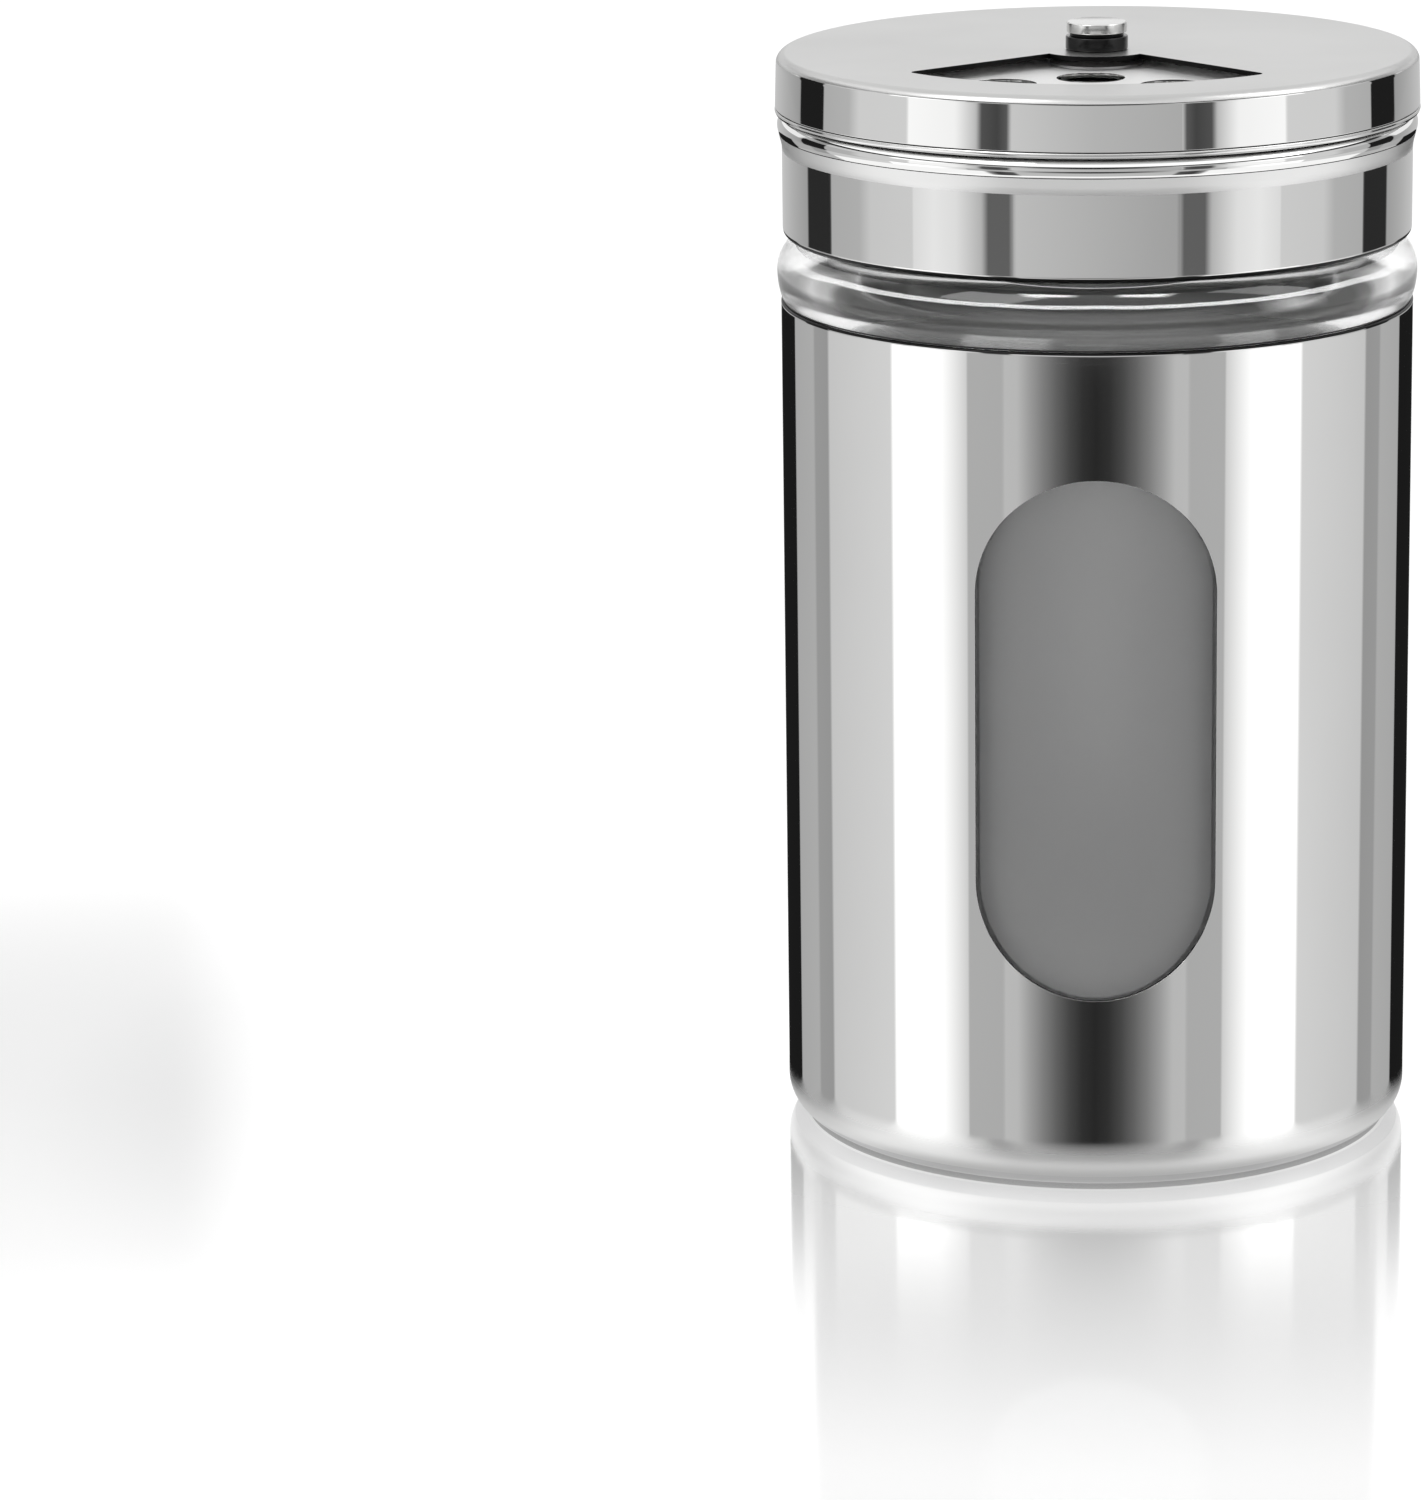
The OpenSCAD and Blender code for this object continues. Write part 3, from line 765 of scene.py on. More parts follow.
class SHAKER_OT_glass_jar(bpy.types.Operator):
    """Spins the pressed glass jar and joins the thread to its neck"""

    bl_idname = "shaker.glass_jar"
    bl_label = "Glass jar"

    def execute(self, context):
        s = context.scene.shaker_jar
        thread = context.scene.shaker_thread
        dome = (s.hollow_radius**2 + s.hollow_depth**2) / (2 * s.hollow_depth)
        dome_end = math.degrees(math.acos(s.hollow_radius / dome))
        wall_in = s.radius - s.wall
        floor = s.bottom + s.base
        low_start = -math.degrees(math.asin((s.bead_height - s.ledge) / s.bead_lower))
        ceiling_x = wall_in - s.inner_corner
        ceiling_start = math.degrees(math.acos((s.bore_radius - ceiling_x) / s.inner_corner))
        shoulder = s.bead_height + s.bead_upper
        profile = arc(0, s.bottom + s.hollow_depth - dome, dome, 90, dome_end, 24)
        profile += arc(s.radius - s.foot_corner, s.bottom + s.foot_corner, s.foot_corner, 270, 360, 12)
        notch = len(profile)
        profile += [(s.radius, s.ledge)]
        profile += arc(s.bead_radius - s.bead_lower, s.bead_height, s.bead_lower, low_start, 0, 14)
        profile += arc(s.bead_radius - s.bead_upper, s.bead_height, s.bead_upper, 0, 90, 14)[1:]
        neck_foot = len(profile)
        profile += [(s.neck_radius, shoulder)]
        rim_z = s.rim_height - s.rim_round
        profile += arc(s.neck_radius - s.rim_round, rim_z, s.rim_round, 0, 90, 10)
        profile += arc(s.bore_radius + s.rim_round, rim_z, s.rim_round, 90, 180, 10)
        bore_foot = len(profile)
        profile += arc(ceiling_x, s.ceiling, s.inner_corner, ceiling_start, 0, 14)
        profile += arc(ceiling_x, floor + s.inner_corner, s.inner_corner, 0, -90, 14)
        profile += [(0, floor)]
        rounded = [(notch, 0.03 * MM), (notch + 1, 0.06 * MM), (neck_foot, 0.5 * MM), (bore_foot, 1.1 * MM)]
        piece = revolve("jar", profile, closed=False, segments=360, rounded=rounded)
        ridge = helical_ridge("neck thread", s.neck_radius - thread.sink, s.neck_radius + thread.ridge,
                              thread.start, thread.neck_turns, thread)
        combine(piece, ridge, "UNION")
        shade(piece, sharp=40, weighted=False)
        finishes = context.scene.shaker_finishes
        paint(piece, clear_glass(finishes, "pressed_glass", 0.0, 1.0))
        # The film is thick in the body of the jar and thin from just under its ceiling up to the rim
        thin_from = s.ceiling - 6 * MM
        paint(piece, clear_glass(finishes, "filmed_glass", 0.28, 0.85), lambda f: is_inside(f, s, floor))
        paint(piece, clear_glass(finishes, "hazy_glass", 0.1, 0.95), lambda f: is_inside(f, s, thin_from))
        # Painted shadow: a near-black ring on the glass where the bead meets the sleeve
        seam_height, seam_depth = 0.12 * MM, 0.3 * MM
        paint(piece, painted_seam_shadow(finishes), lambda f: abs(face_height(f) - s.ledge) < seam_height
              and face_radius(f) > s.radius - seam_depth)
        seat(piece, "jar", "glass_jar")
        return {"FINISHED"}


def is_inside(face, s, floor):
    """True for a face of the jar's inner side, from the floor up to the rim's rounding."""
    neck_foot = s.ceiling + 4.7 * MM
    limit = s.bore_radius + 5 * ROOM if face_height(face) > neck_foot else s.radius - 0.9 * s.wall
    return face_height(face) > floor - 10 * ROOM and face_radius(face) < limit


def sector(r_in, r_out, half_angle, ease, corner):
    """Outline (x, y) of a sector of a ring about -Y, its two outer corners rounded. Each straight side
    lies outside the line from the centre by ease."""
    side = ease - corner
    far = math.sqrt((r_out - corner) ** 2 - side**2)
    near = math.sqrt(r_in**2 - ease**2)
    turn = math.degrees(math.atan2(side, far))
    # The sector's right half, drawn with its side along +X and then turned into place
    half = [(near, ease)] + arc(far, side, corner, 90, turn, 8)
    turned = math.radians(half_angle - 90)
    cos, sin = math.cos(turned), math.sin(turned)
    right = [(x * cos - y * sin, x * sin + y * cos) for x, y in half]
    outer_stop = math.degrees(math.atan2(right[-1][1], right[-1][0]))
    outer = arc(0, 0, r_out, outer_stop, -180 - outer_stop, 48)[1:-1]
    left = [(-x, y) for x, y in reversed(right)]
    inner_stop = math.degrees(math.atan2(right[0][1], right[0][0]))
    inner = arc(0, 0, r_in, -180 - inner_stop, inner_stop, 24)[1:-1]
    return right + outer + left + inner


class SHAKER_OT_lid_base(bpy.types.Operator):
    """Spins the lid's shell and stamps the shaker plate's openings"""

    bl_idname = "shaker.lid_base"
    bl_label = "Lid base"

    # Rows of fine holes as (distance from the axis, count), and the gap between holes
    fine_rows = ((8.6 * MM, 1), (12.8 * MM, 2), (17.0 * MM, 3))
    fine_gap = 5.2 * MM
    # Distance of the two far large holes and of the near one, and the far ones' angle to each side
    large_far, large_near, large_spread = 15.2 * MM, 8.9 * MM, 31
    # The pouring gap, a sector of a ring
    pour = dict(r_in=7.2 * MM, r_out=21.4 * MM, half_angle=37, ease=0, corner=1.5 * MM)

    def execute(self, context):
        s = context.scene.shaker_lid
        rivet = context.scene.shaker_rivet
        finishes = context.scene.shaker_finishes
        hole = rivet.shank_radius + rivet.running_gap
        sheet, hem, low = s.sheet, s.hem, s.low
        crease_z = s.ridge_height - s.crease_drop
        upper_x = s.ridge_radius - s.ridge_upper
        lower_x = s.ridge_radius - s.ridge_lower
        corner_x, corner_z = s.collar_radius - s.collar_corner, s.plate_top - s.collar_corner
        crease_turn = math.degrees(math.asin(s.crease_drop / s.ridge_lower))
        crease_in_turn = math.degrees(math.asin(s.crease_drop / (s.ridge_lower - sheet)))
        collar_out = s.collar_radius - upper_x
        collar_turn = math.degrees(math.acos(collar_out / s.ridge_upper))
        collar_in_turn = math.degrees(math.acos((collar_out - sheet) / (s.ridge_upper - sheet)))
        profile = arc(s.band_radius - hem, low + hem, hem, 270, 360, 8)
        band_corner = len(profile)
        profile += [(s.band_radius, s.band_top)]
        crease_x = lower_x + s.ridge_lower * math.cos(math.radians(crease_turn))
        profile += [(crease_x - 0.2 * s.crease, crease_z - s.crease)]
        profile += [(crease_x - s.crease, crease_z - 0.4 * s.crease)]
        profile += arc(lower_x, s.ridge_height, s.ridge_lower, -crease_turn, 0, 8)
        profile += arc(upper_x, s.ridge_height, s.ridge_upper, 0, collar_turn, 12)[1:]
        profile += arc(corner_x, corner_z, s.collar_corner, 0, 90, 10)
        profile += [(hole, s.plate_top), (hole, s.plate_top - sheet)]
        profile += arc(corner_x, corner_z, s.collar_corner - sheet, 90, 0, 6)
        profile += arc(upper_x, s.ridge_height, s.ridge_upper - sheet, collar_in_turn, 0, 8)
        profile += arc(lower_x, s.ridge_height, s.ridge_lower - sheet, 0, -crease_in_turn, 5)[1:]
        profile += [(s.band_radius - sheet, s.band_top)]
        profile += arc(s.band_radius - hem, low + hem, hem - sheet, 360, 270, 3)
        band_round = 0.35 * MM
        piece = revolve("lid_shell", profile, closed=True, segments=360, rounded=[(band_corner, band_round)])
        combine(piece, self.plate_punch(s), "DIFFERENCE")
        clear_flats(piece, (s.plate_top, s.plate_top - sheet))
        reach_in = s.collar_radius - 2 * s.collar_corner
        break_edges(piece, lambda v: abs(v.co.z - s.plate_top) < SAME
                    and hole * 1.2 < v.co.xy.length < reach_in, s.hole_edge)
        shade(piece)
        painted_shade = painted_shade_steel(finishes)
        cone_low, cone_high = s.band_top - band_round - ROOM, crease_z - 0.9 * s.crease
        paint(piece, polished_steel(finishes))
        paint(piece, drawn_steel(finishes),
              lambda f: is_underside(f, s.plate_top, sheet, -0.9, s.collar_radius - 3 * sheet))
        # Painted light: the plate's top is near-white steel that lifts it out of the shade under the dial
        paint(piece, satin_steel("plate_steel_painted_light", finishes.plate, 0.42, 0.25), lambda f: f.normal.z > 0.95
              and all(v.co.z > s.plate_top - ROOM and v.co.xy.length < corner_x + 10 * ROOM for v in f.verts))
        paint(piece, satin_steel("soft_steel", finishes.polished, 0.34),
              lambda f: face_radius(f) > s.band_radius - 0.5 * sheet and spans(f, cone_low, cone_high))
        # Painted shade: the crease at the ridge's foot is painted near-black as a line of shade
        paint(piece, painted_shade, lambda f: face_radius(f) > crease_x - s.crease
              and spans(f, crease_z - 1.05 * s.crease, crease_z + ROOM))
        # Painted shadow: the curled hem's underside is painted near-black as the shade of the gap over the
        # glass bead
        paint(piece, painted_shade, lambda f: f.normal.z < -0.12 and face_height(f) < low + hem)
        seat(piece, "lid", "lid_base")
        return {"FINISHED"}

    def plate_punch(self, s):
        """All the openings of the plate, quarter by quarter in the order the dial meets them."""
        base = s.plate_top - s.sheet - 1 * MM
        rise = (0, 0, s.sheet + 2 * MM)

        def round_punch(x, y, radius, quarter):
            turn = s.turned + quarter * math.pi / 2
            spot = Matrix.Rotation(turn, 2) @ Vector((x, y))
            ring = arc(spot.x, spot.y, radius, 0, 360, 96)[:-1]
            return prism("punch", [(px, py, base) for px, py in ring], rise)

        spread = math.radians(self.large_spread)
        far_x, far_y = self.large_far * math.sin(spread), -self.large_far * math.cos(spread)
        punches = [round_punch(x, y, s.large_hole, 0)
                   for x, y in ((-far_x, far_y), (far_x, far_y), (0, -self.large_near))]
        punches += [round_punch((k - (count - 1) / 2) * self.fine_gap, -row, s.fine_hole, 1)
                    for row, count in self.fine_rows for k in range(count)]
        gap = prism("punch", [(x, y, base) for x, y in sector(**self.pour)], rise)
        punches.append(copy_turned(gap, -(s.turned + math.pi)))
        bpy.data.objects.remove(gap)
        return merge_pieces(punches)


def is_underside(face, top, sheet, down, wall):
    """True for a face on the inner side of a cap's sheet: right under its top, with a normal lower than
    down, or facing inwards beyond the radius wall."""
    centre = face.calc_center_median()
    under_top = face.normal.z < down and centre.z > top - 2 * sheet
    inwards = centre.xy.length > wall and centre.xy.normalized().dot(face.normal.xy) < -0.3
    return under_top or inwards


class SHAKER_OT_thread_insert(bpy.types.Operator):
    """Spins the plastic insert and joins its inner thread"""

    bl_idname = "shaker.thread_insert"
    bl_label = "Thread insert"

    lead = 0.5 * MM

    def execute(self, context):
        lid = context.scene.shaker_lid
        jar = context.scene.shaker_jar
        thread = context.scene.shaker_thread
        low, high = foot("thread_insert"), head("thread_insert")
        r_in, r_out, lead = lid.insert_bore, lid.insert_radius, self.lead
        profile = [(r_in + lead, low), (r_out, low), (r_out, high - lead), (r_out - lead, high),
                   (r_in, high), (r_in, low + lead)]
        rounded = [(1, 0.2 * MM), (4, 0.2 * MM)]
        piece = revolve("insert", profile, closed=True, segments=288, rounded=rounded)
        ridge = helical_ridge("insert thread", r_in + thread.sink, jar.neck_radius + thread.clear,
                              thread.start - thread.drop, thread.insert_turns, thread)
        combine(piece, ridge, "UNION")
        shade(piece)
        paint(piece, white_plastic(context.scene.shaker_finishes))
        seat(piece, "lid", "thread_insert")
        return {"FINISHED"}


class SHAKER_OT_seal_ring(bpy.types.Operator):
    """Spins the soft seal that the rim presses on"""

    bl_idname = "shaker.seal_ring"
    bl_label = "Seal ring"

    lip = 0.12 * MM

    def execute(self, context):
        r_in, r_out = context.scene.shaker_lid.seal_bore, reach("seal_ring")
        low, high = foot("seal_ring"), head("seal_ring")
        middle = (r_in + r_out) / 2
        # Two shallow sealing lips run round the lower face
        profile = [(r_in, low), (middle - 0.9 * MM, low), (middle - 0.7 * MM, low + self.lip),
                   (middle + 0.7 * MM, low + self.lip), (middle + 0.9 * MM, low), (r_out, low),
                   (r_out, high), (r_in, high)]
        rounded = [(0, self.lip), (5, self.lip), (6, self.lip), (7, self.lip)]
        piece = revolve("seal", profile, closed=True, segments=240, rounded=rounded)
        shade(piece, sharp=50)
        paint(piece, milky_seal(context.scene.shaker_finishes))
        seat(piece, "lid_lift_stage", "seal_ring")
        return {"FINISHED"}


class SHAKER_OT_dial_cap(bpy.types.Operator):
    """Spins the dial with its rolled hem and stamps its quarter opening"""

    bl_idname = "shaker.dial_cap"
    bl_label = "Dial cap"

    def execute(self, context):
        s = context.scene.shaker_dial
        rivet = context.scene.shaker_rivet
        lid = context.scene.shaker_lid
        finishes = context.scene.shaker_finishes
        sheet = lid.sheet
        hole = rivet.shank_radius + rivet.running_gap
        shoulder = s.radius - s.flare
        corner_z = s.top - s.corner
        hem_x, hem_z = s.radius - s.hem, s.low + s.hem
        hem_turn = math.radians(50)
        hem_top = hem_z + s.hem * math.sin(hem_turn)
        hole_reach = s.opening_out + 10 * ROOM
        profile = [(hole, s.top)]
        profile += arc(shoulder - s.corner, corner_z, s.corner, 90, 0, 14)
        skirt_end = len(profile)
        profile += [(s.radius - 0.2 * s.flare, hem_top + s.groove)]
        profile += [(hem_x + s.hem * math.cos(hem_turn) - 0.3 * s.groove, hem_top + 0.3 * s.groove)]
        profile += arc(hem_x, hem_z, s.hem, 45, -180, 18)
        profile += [(s.radius - sheet, hem_z + 0.15 * MM)]
        profile += arc(shoulder - s.corner, corner_z, s.corner - sheet, 0, 90, 8)
        profile += [(hole, s.top - sheet)]
        piece = revolve("dial", profile, closed=True, segments=360, rounded=[(skirt_end, 0.05 * MM)])
        base = s.top - sheet - 1 * MM
        outline = sector(s.opening_in, s.opening_out, 45, s.opening_ease, s.opening_corner)
        punch = prism("opening punch", [(x, y, base) for x, y in outline], (0, 0, sheet + 2 * MM))
        turned = copy_turned(punch, -lid.turned)
        bpy.data.objects.remove(punch)
        combine(piece, turned, "DIFFERENCE")
        clear_flats(piece, (s.top, s.top - sheet))
        break_edges(piece, lambda v: abs(v.co.z - s.top) < SAME
                    and v.co.xy.length < hole_reach, s.opening_edge)
        shade(piece)
        painted_shade = painted_shade_steel(finishes)
        paint(piece, polished_steel(finishes))
        paint(piece, drawn_steel(finishes),
              lambda f: is_underside(f, s.top, sheet, -0.5, s.opening_out + 2 * MM))
        paint(piece, satin_steel("satin_steel", finishes.satin, 0.30), lambda f: f.normal.z > 0.38)
        # Painted shade: the opening's cut walls and the rivet hole are painted near-black so they read as the
        # shade under the dial
        paint(piece, painted_shade, lambda f: abs(f.normal.z) < 0.5 and face_radius(f) < hole_reach)
        # Painted shade: the groove over the hem is painted near-black as a line of shade
        paint(piece, painted_shade, lambda f: face_radius(f) > hem_x
              and spans(f, hem_top - 2 * ROOM, hem_top + 1.01 * s.groove))
        seat(piece, "dial", "dial_cap")
        return {"FINISHED"}


class SHAKER_OT_pivot_rivet(bpy.types.Operator):
    """Turns the rivet: flat head, grooved neck, shank and spread tail"""

    bl_idname = "shaker.pivot_rivet"
    bl_label = "Pivot rivet"

    edge = 0.14 * MM

    def execute(self, context):
        s = context.scene.shaker_rivet
        neck_low = head("top_washer") + 0.04 * MM
        low = foot("pivot_rivet")
        head_low = s.top - s.head_height
        tail_top = low + s.tail_height
        profile = [(0, low), (s.tail_radius - 0.5 * MM, low), (s.tail_radius, low + s.tail_height / 2),
                   (s.tail_radius, tail_top), (s.shank_radius, tail_top), (s.shank_radius, neck_low),
                   (s.neck_radius, neck_low), (s.neck_radius, head_low), (s.head_radius, head_low),
                   (s.head_radius, s.top), (0, s.top)]
        rounded = [(1, 0.3 * MM), (2, 0.2 * MM), (3, 0.1 * MM), (8, self.edge), (9, self.edge)]
        piece = revolve("rivet", profile, closed=False, segments=128, rounded=rounded)
        shade(piece)
        finishes = context.scene.shaker_finishes
        paint(piece, turned_steel("turned_steel", finishes.turned, 0.16))
        # Painted shadow: the neck under the head is painted near-black as the shade beneath the head
        paint(piece, painted_shade_steel(finishes), lambda f: spans(f, neck_low - ROOM, head_low + ROOM))
        seat(piece, "lid", "pivot_rivet")
        return {"FINISHED"}


class SHAKER_OT_washers(bpy.types.Operator):
    """Turns the three washers on the rivet's shank"""

    bl_idname = "shaker.washers"
    bl_label = "Washers"

    edge = 0.12 * MM

    def execute(self, context):
        s = context.scene.shaker_rivet
        finishes = context.scene.shaker_finishes
        bore = s.shank_radius + s.running_gap
        dark = turned_steel("oxide_steel", finishes.oxide, 0.2)
        for name, node_name, radius in (("disc", "top_washer", s.washer_radius),
                                        ("backing", "backing_washer", reach("backing_washer"))):
            low, high = foot(node_name), head(node_name)
            profile = [(bore, low), (radius, low), (radius, high), (bore, high)]
            rounded = [(1, self.edge), (2, self.edge), (3, 0.05 * MM)]
            piece = revolve(name, profile, closed=True, segments=128, rounded=rounded)
            shade(piece)
            paint(piece, dark)
            seat(piece, "lid", node_name)
        low, high = foot("spring_washer"), head("spring_washer")
        thick, r_out, r_in = s.spring_thickness, reach("spring_washer"), s.shank_radius + 0.15 * MM
        # A shallow bell: the cone eases off towards both of its edges
        steps, bell = 12, 0.6
        lower = []
        for k in range(steps + 1):
            t = k / steps
            ease = t * t * (3 - 2 * t) * bell + t * (1 - bell)
            lower.append((r_in + (r_out - r_in) * t, high - thick + (low - high + thick) * ease))
        profile = lower + [(x, z + thick) for x, z in reversed(lower)]
        piece = revolve("cone_spring", profile, closed=True, segments=128)
        shade(piece)
        paint(piece, turned_steel("spring_steel", finishes.spring, 0.3))
        seat(piece, "lid", "spring_washer")
        return {"FINISHED"}


# Stage

def soft_board(end, dark, light):
    """Stops of a board that is dark in the middle and lightens evenly to the eye towards its end."""
    steps, bend = 6, 2.2
    return [(end * k / steps, dark + (light - dark) * (k / steps) ** bend) for k in range(steps + 1)]


# Grey levels of the studio's boards that the polished steel mirrors: each board's start and end, as
# (degrees from the front, level)
SLEEVE_BOARDS = (*soft_board(28.5, 0.025, 0.59), (33.4, 0.60), (33.9, 0.50), (47.2, 0.51), (47.7, 0.76),
                 (60, 1.4), (79.2, 1.4), (79.7, 0.79), (114.3, 0.68), (114.9, 0.37), (124.5, 0.38),
                 (126, 0.50), (143.4, 0.46), (144, 0.012), (171.5, 0.012), (172.5, 0.4), (180, 0.5))
BAND_BOARDS = ((0, 0.53), (29, 0.53), (31.6, 0.14), (39.5, 0.14), (42, 0.55), (52, 0.9), (61, 0.98),
               (69.8, 0.87), (70.3, 0.73), (90, 0.70), (96, 0.53), (112.7, 0.50), (113.3, 0.028),
               (130.5, 0.028), (131.2, 0.40), (155, 0.55), (180, 0.62))
DIAL_BOARDS = ((0, 0.56), (30.2, 0.60), (31.5, 0.12), (35, 0.07), (41, 0.1), (43, 0.62), (51, 1.1),
               (69.9, 1.17), (70.5, 0.76), (93, 0.75), (98.5, 0.54), (113.2, 0.50), (113.7, 0.015),
               (131, 0.015), (131.6, 0.38), (155, 0.55), (180, 0.62))
# Levels of what clear glass mirrors, over the height or the turn from the front, in degrees
GLASS_FRONT = ((-54, 0.1), (-46, 0.7), (-38, 1.4), (-28, 2.5), (-20, 2.3), (-18.5, 0.9), (-9.5, 0.9),
               (-8, 2.3), (8, 2.2), (16, 1.8), (24, 0.5), (42, 1.3), (76, 1.4), (84, 0.3), (90, 0.2))
GLASS_FADE = ((0, 1), (30, 1), (50, 0.6), (75, 0.3), (104, 0.25), (180, 0.25))
STRIP_LEVEL = ((0, 17), (60, 17), (80, 15), (104, 11), (120, 5), (136, 1), (145, 0), (180, 0))
STRIP_RISE = ((0, 38), (20, 35), (40, 34), (60, 31), (80, 28), (112, 22), (127, 14), (180, 0))
GLASS_SIDES = ((0, 0), (104, 0), (113, 1), (119, 4.5), (130, 5), (136, 2.8), (142, 1.6), (150, 1.0),
               (160, 0.6), (180, 0.4))
SIDE_FADE = ((-30, 0.1), (-20, 0.2), (-14, 0.4), (-9, 1), (20, 1), (30, 0.5), (45, 0.25), (90, 0.2))
STRIP_HALF, LEFT_NEARER = 5, 7.0
# The two lamps over the glass by their direction's X and Y, and the one on the right in degrees
OVERHEAD_LEVEL, OVERHEAD_X, OVERHEAD_Y = 19.0, (0.1, 0.3), (-0.38, -0.18)
BOX_LEVEL, BOX_RISE, BOX_TURN = 8.0, (0, 24), (66, 84)
# Levels of the ceiling over the front, and of the ground, by height in degrees
CEILING = ((0, 0.75), (19, 0.75), (19.3, 0.04), (26, 0.04), (26.5, 1.35), (46, 1.35), (50, 0.85), (90, 0.85))
GROUND = ((-90, 0.46), (-52, 0.52), (-44, 0.7), (-41, 1.25), (0, 1.25))
# Seen by the curved ridge, between the sleeve's directions and the ground
RIDGE_BOARDS = ((0, 0.60), (29, 0.60), (30.5, 0.10), (37, 0.05), (40, 0.30), (42, 1.15), (112, 1.15),
                (113.5, 0.55), (180, 0.6))
# Heights at which the boards follow each other, from the ground up, in degrees
GROUND_RISE, RIDGE_RISE, LID_RISE, DIAL_RISE, CEILING_RISE = -36, -19, (-10.72, -10.2), -7.5, 19
# Heights at which the plain ceiling starts over the front and over the back, and the back's low part
FRONT_START, BACK_START, BACK_LOW = 10.5, 4.0, 15.5
# Turns at which the middle board and the front end, and the back's middle starts
MIDDLE_END, FRONT_END, BACK_MIDDLE = 30, 132, 172
MIDDLE_TILT = -0.35


def ramp(tree, value, stops):
    """Grey levels over a value, from (value, level) stops."""
    low, high = stops[0][0], stops[-1][0]
    made = node(tree, "ShaderNodeValToRGB", {"Fac": remap(tree, value, low, high)})
    elements = made.color_ramp.elements
    while len(elements) < len(stops):
        elements.new(0.5)
    for k, (place, level) in enumerate(stops):
        elements[k].position = (place - low) / (high - low)
        elements[k].color = (level, level, level, 1)
    return made.outputs["Color"]


def blend(tree, factor, below, above):
    """Goes from one level to another. Levels are numbers or outputs."""
    made = node(tree, "ShaderNodeMix", {"Factor": factor, "A": below, "B": above}, data_type="FLOAT")
    return made.outputs["Result"]


def step(tree, value, place, soft=0.1):
    """0 below a place and 1 above it."""
    return remap(tree, maths(tree, "SUBTRACT", value, place), -soft / 2, soft / 2)


def up_to(tree, value, place, soft=0.1):
    """1 below a place and 0 above it."""
    return maths(tree, "SUBTRACT", 1.0, step(tree, value, place, soft))


def between(tree, value, span, soft):
    """1 between the two places of a span and 0 outside them."""
    return maths(tree, "MULTIPLY", step(tree, value, span[0], soft), up_to(tree, value, span[1], soft))


def product(tree, *values):
    total = values[0]
    for value in values[1:]:
        total = maths(tree, "MULTIPLY", total, value)
    return total


def glass_boards(tree, turn, rise, way):
    """What clear glass mirrors: a dim front, a long strip light, lamps overhead and on the right, and
    white sides."""
    front = product(tree, ramp(tree, rise, GLASS_FRONT), ramp(tree, turn, GLASS_FADE))
    off_strip = maths(tree, "SUBTRACT", rise, ramp(tree, turn, STRIP_RISE))
    on_strip = between(tree, off_strip, (-STRIP_HALF, STRIP_HALF), 2)
    strip = product(tree, on_strip, ramp(tree, turn, STRIP_LEVEL))
    overhead = product(tree, between(tree, maths(tree, "ABSOLUTE", way["X"]), OVERHEAD_X, 0.06),
                       between(tree, way["Y"], OVERHEAD_Y, 0.05), step(tree, way["Z"], 0.5), OVERHEAD_LEVEL)
    on_right = step(tree, way["X"], 0)
    box = product(tree, between(tree, rise, BOX_RISE, 14), between(tree, turn, BOX_TURN, 14),
                  on_right, BOX_LEVEL)
    # The white side stands nearer to the front on the left
    moved = maths(tree, "MULTIPLY_ADD", on_right, LEFT_NEARER, -LEFT_NEARER)
    nearer = maths(tree, "SUBTRACT", turn, moved)
    side = product(tree, ramp(tree, nearer, GLASS_SIDES), ramp(tree, rise, SIDE_FADE))
    total = front
    for light in (strip, overhead, box, side):
        total = maths(tree, "ADD", total, light)
    return total


def studio_boards(tree, turn, rise, way):
    """What polished steel mirrors, by direction: dark and light boards all round, the white ceiling over
    them and the pale ground below."""
    sleeve = ramp(tree, turn, SLEEVE_BOARDS)
    band, dial = ramp(tree, turn, BAND_BOARDS), ramp(tree, turn, DIAL_BOARDS)
    lid = blend(tree, step(tree, rise, DIAL_RISE), band, dial)
    # The middle board is lit a little more from the left
    middle = product(tree, up_to(tree, turn, MIDDLE_END), way["X"])
    lid = product(tree, lid, maths(tree, "MULTIPLY_ADD", middle, MIDDLE_TILT, 1.0))
    # The sleeve mirrors lower directions than the lid does, so the boards change at this slope
    change = remap(tree, turn, 0, 150, *LID_RISE)
    level = blend(tree, step(tree, rise, change), sleeve, lid)
    level = blend(tree, step(tree, rise, RIDGE_RISE, 0.5), ramp(tree, turn, RIDGE_BOARDS), level)
    level = blend(tree, step(tree, rise, GROUND_RISE, 3), ramp(tree, rise, GROUND), level)
    front = up_to(tree, turn, FRONT_END, 4)
    ceiling = blend(tree, front, 1.0, ramp(tree, rise, CEILING))
    # Below the ceiling the floor's picture of the sleeve sees the sleeve's own boards
    low_back = product(tree, step(tree, rise, BACK_LOW), up_to(tree, turn, BACK_MIDDLE, 1))
    under = blend(tree, front, blend(tree, low_back, 1.0, sleeve), sleeve)
    ceiling = blend(tree, step(tree, rise, CEILING_RISE), under, ceiling)
    start = blend(tree, front, BACK_START, FRONT_START)
    return blend(tree, step(tree, rise, start), level, ceiling)


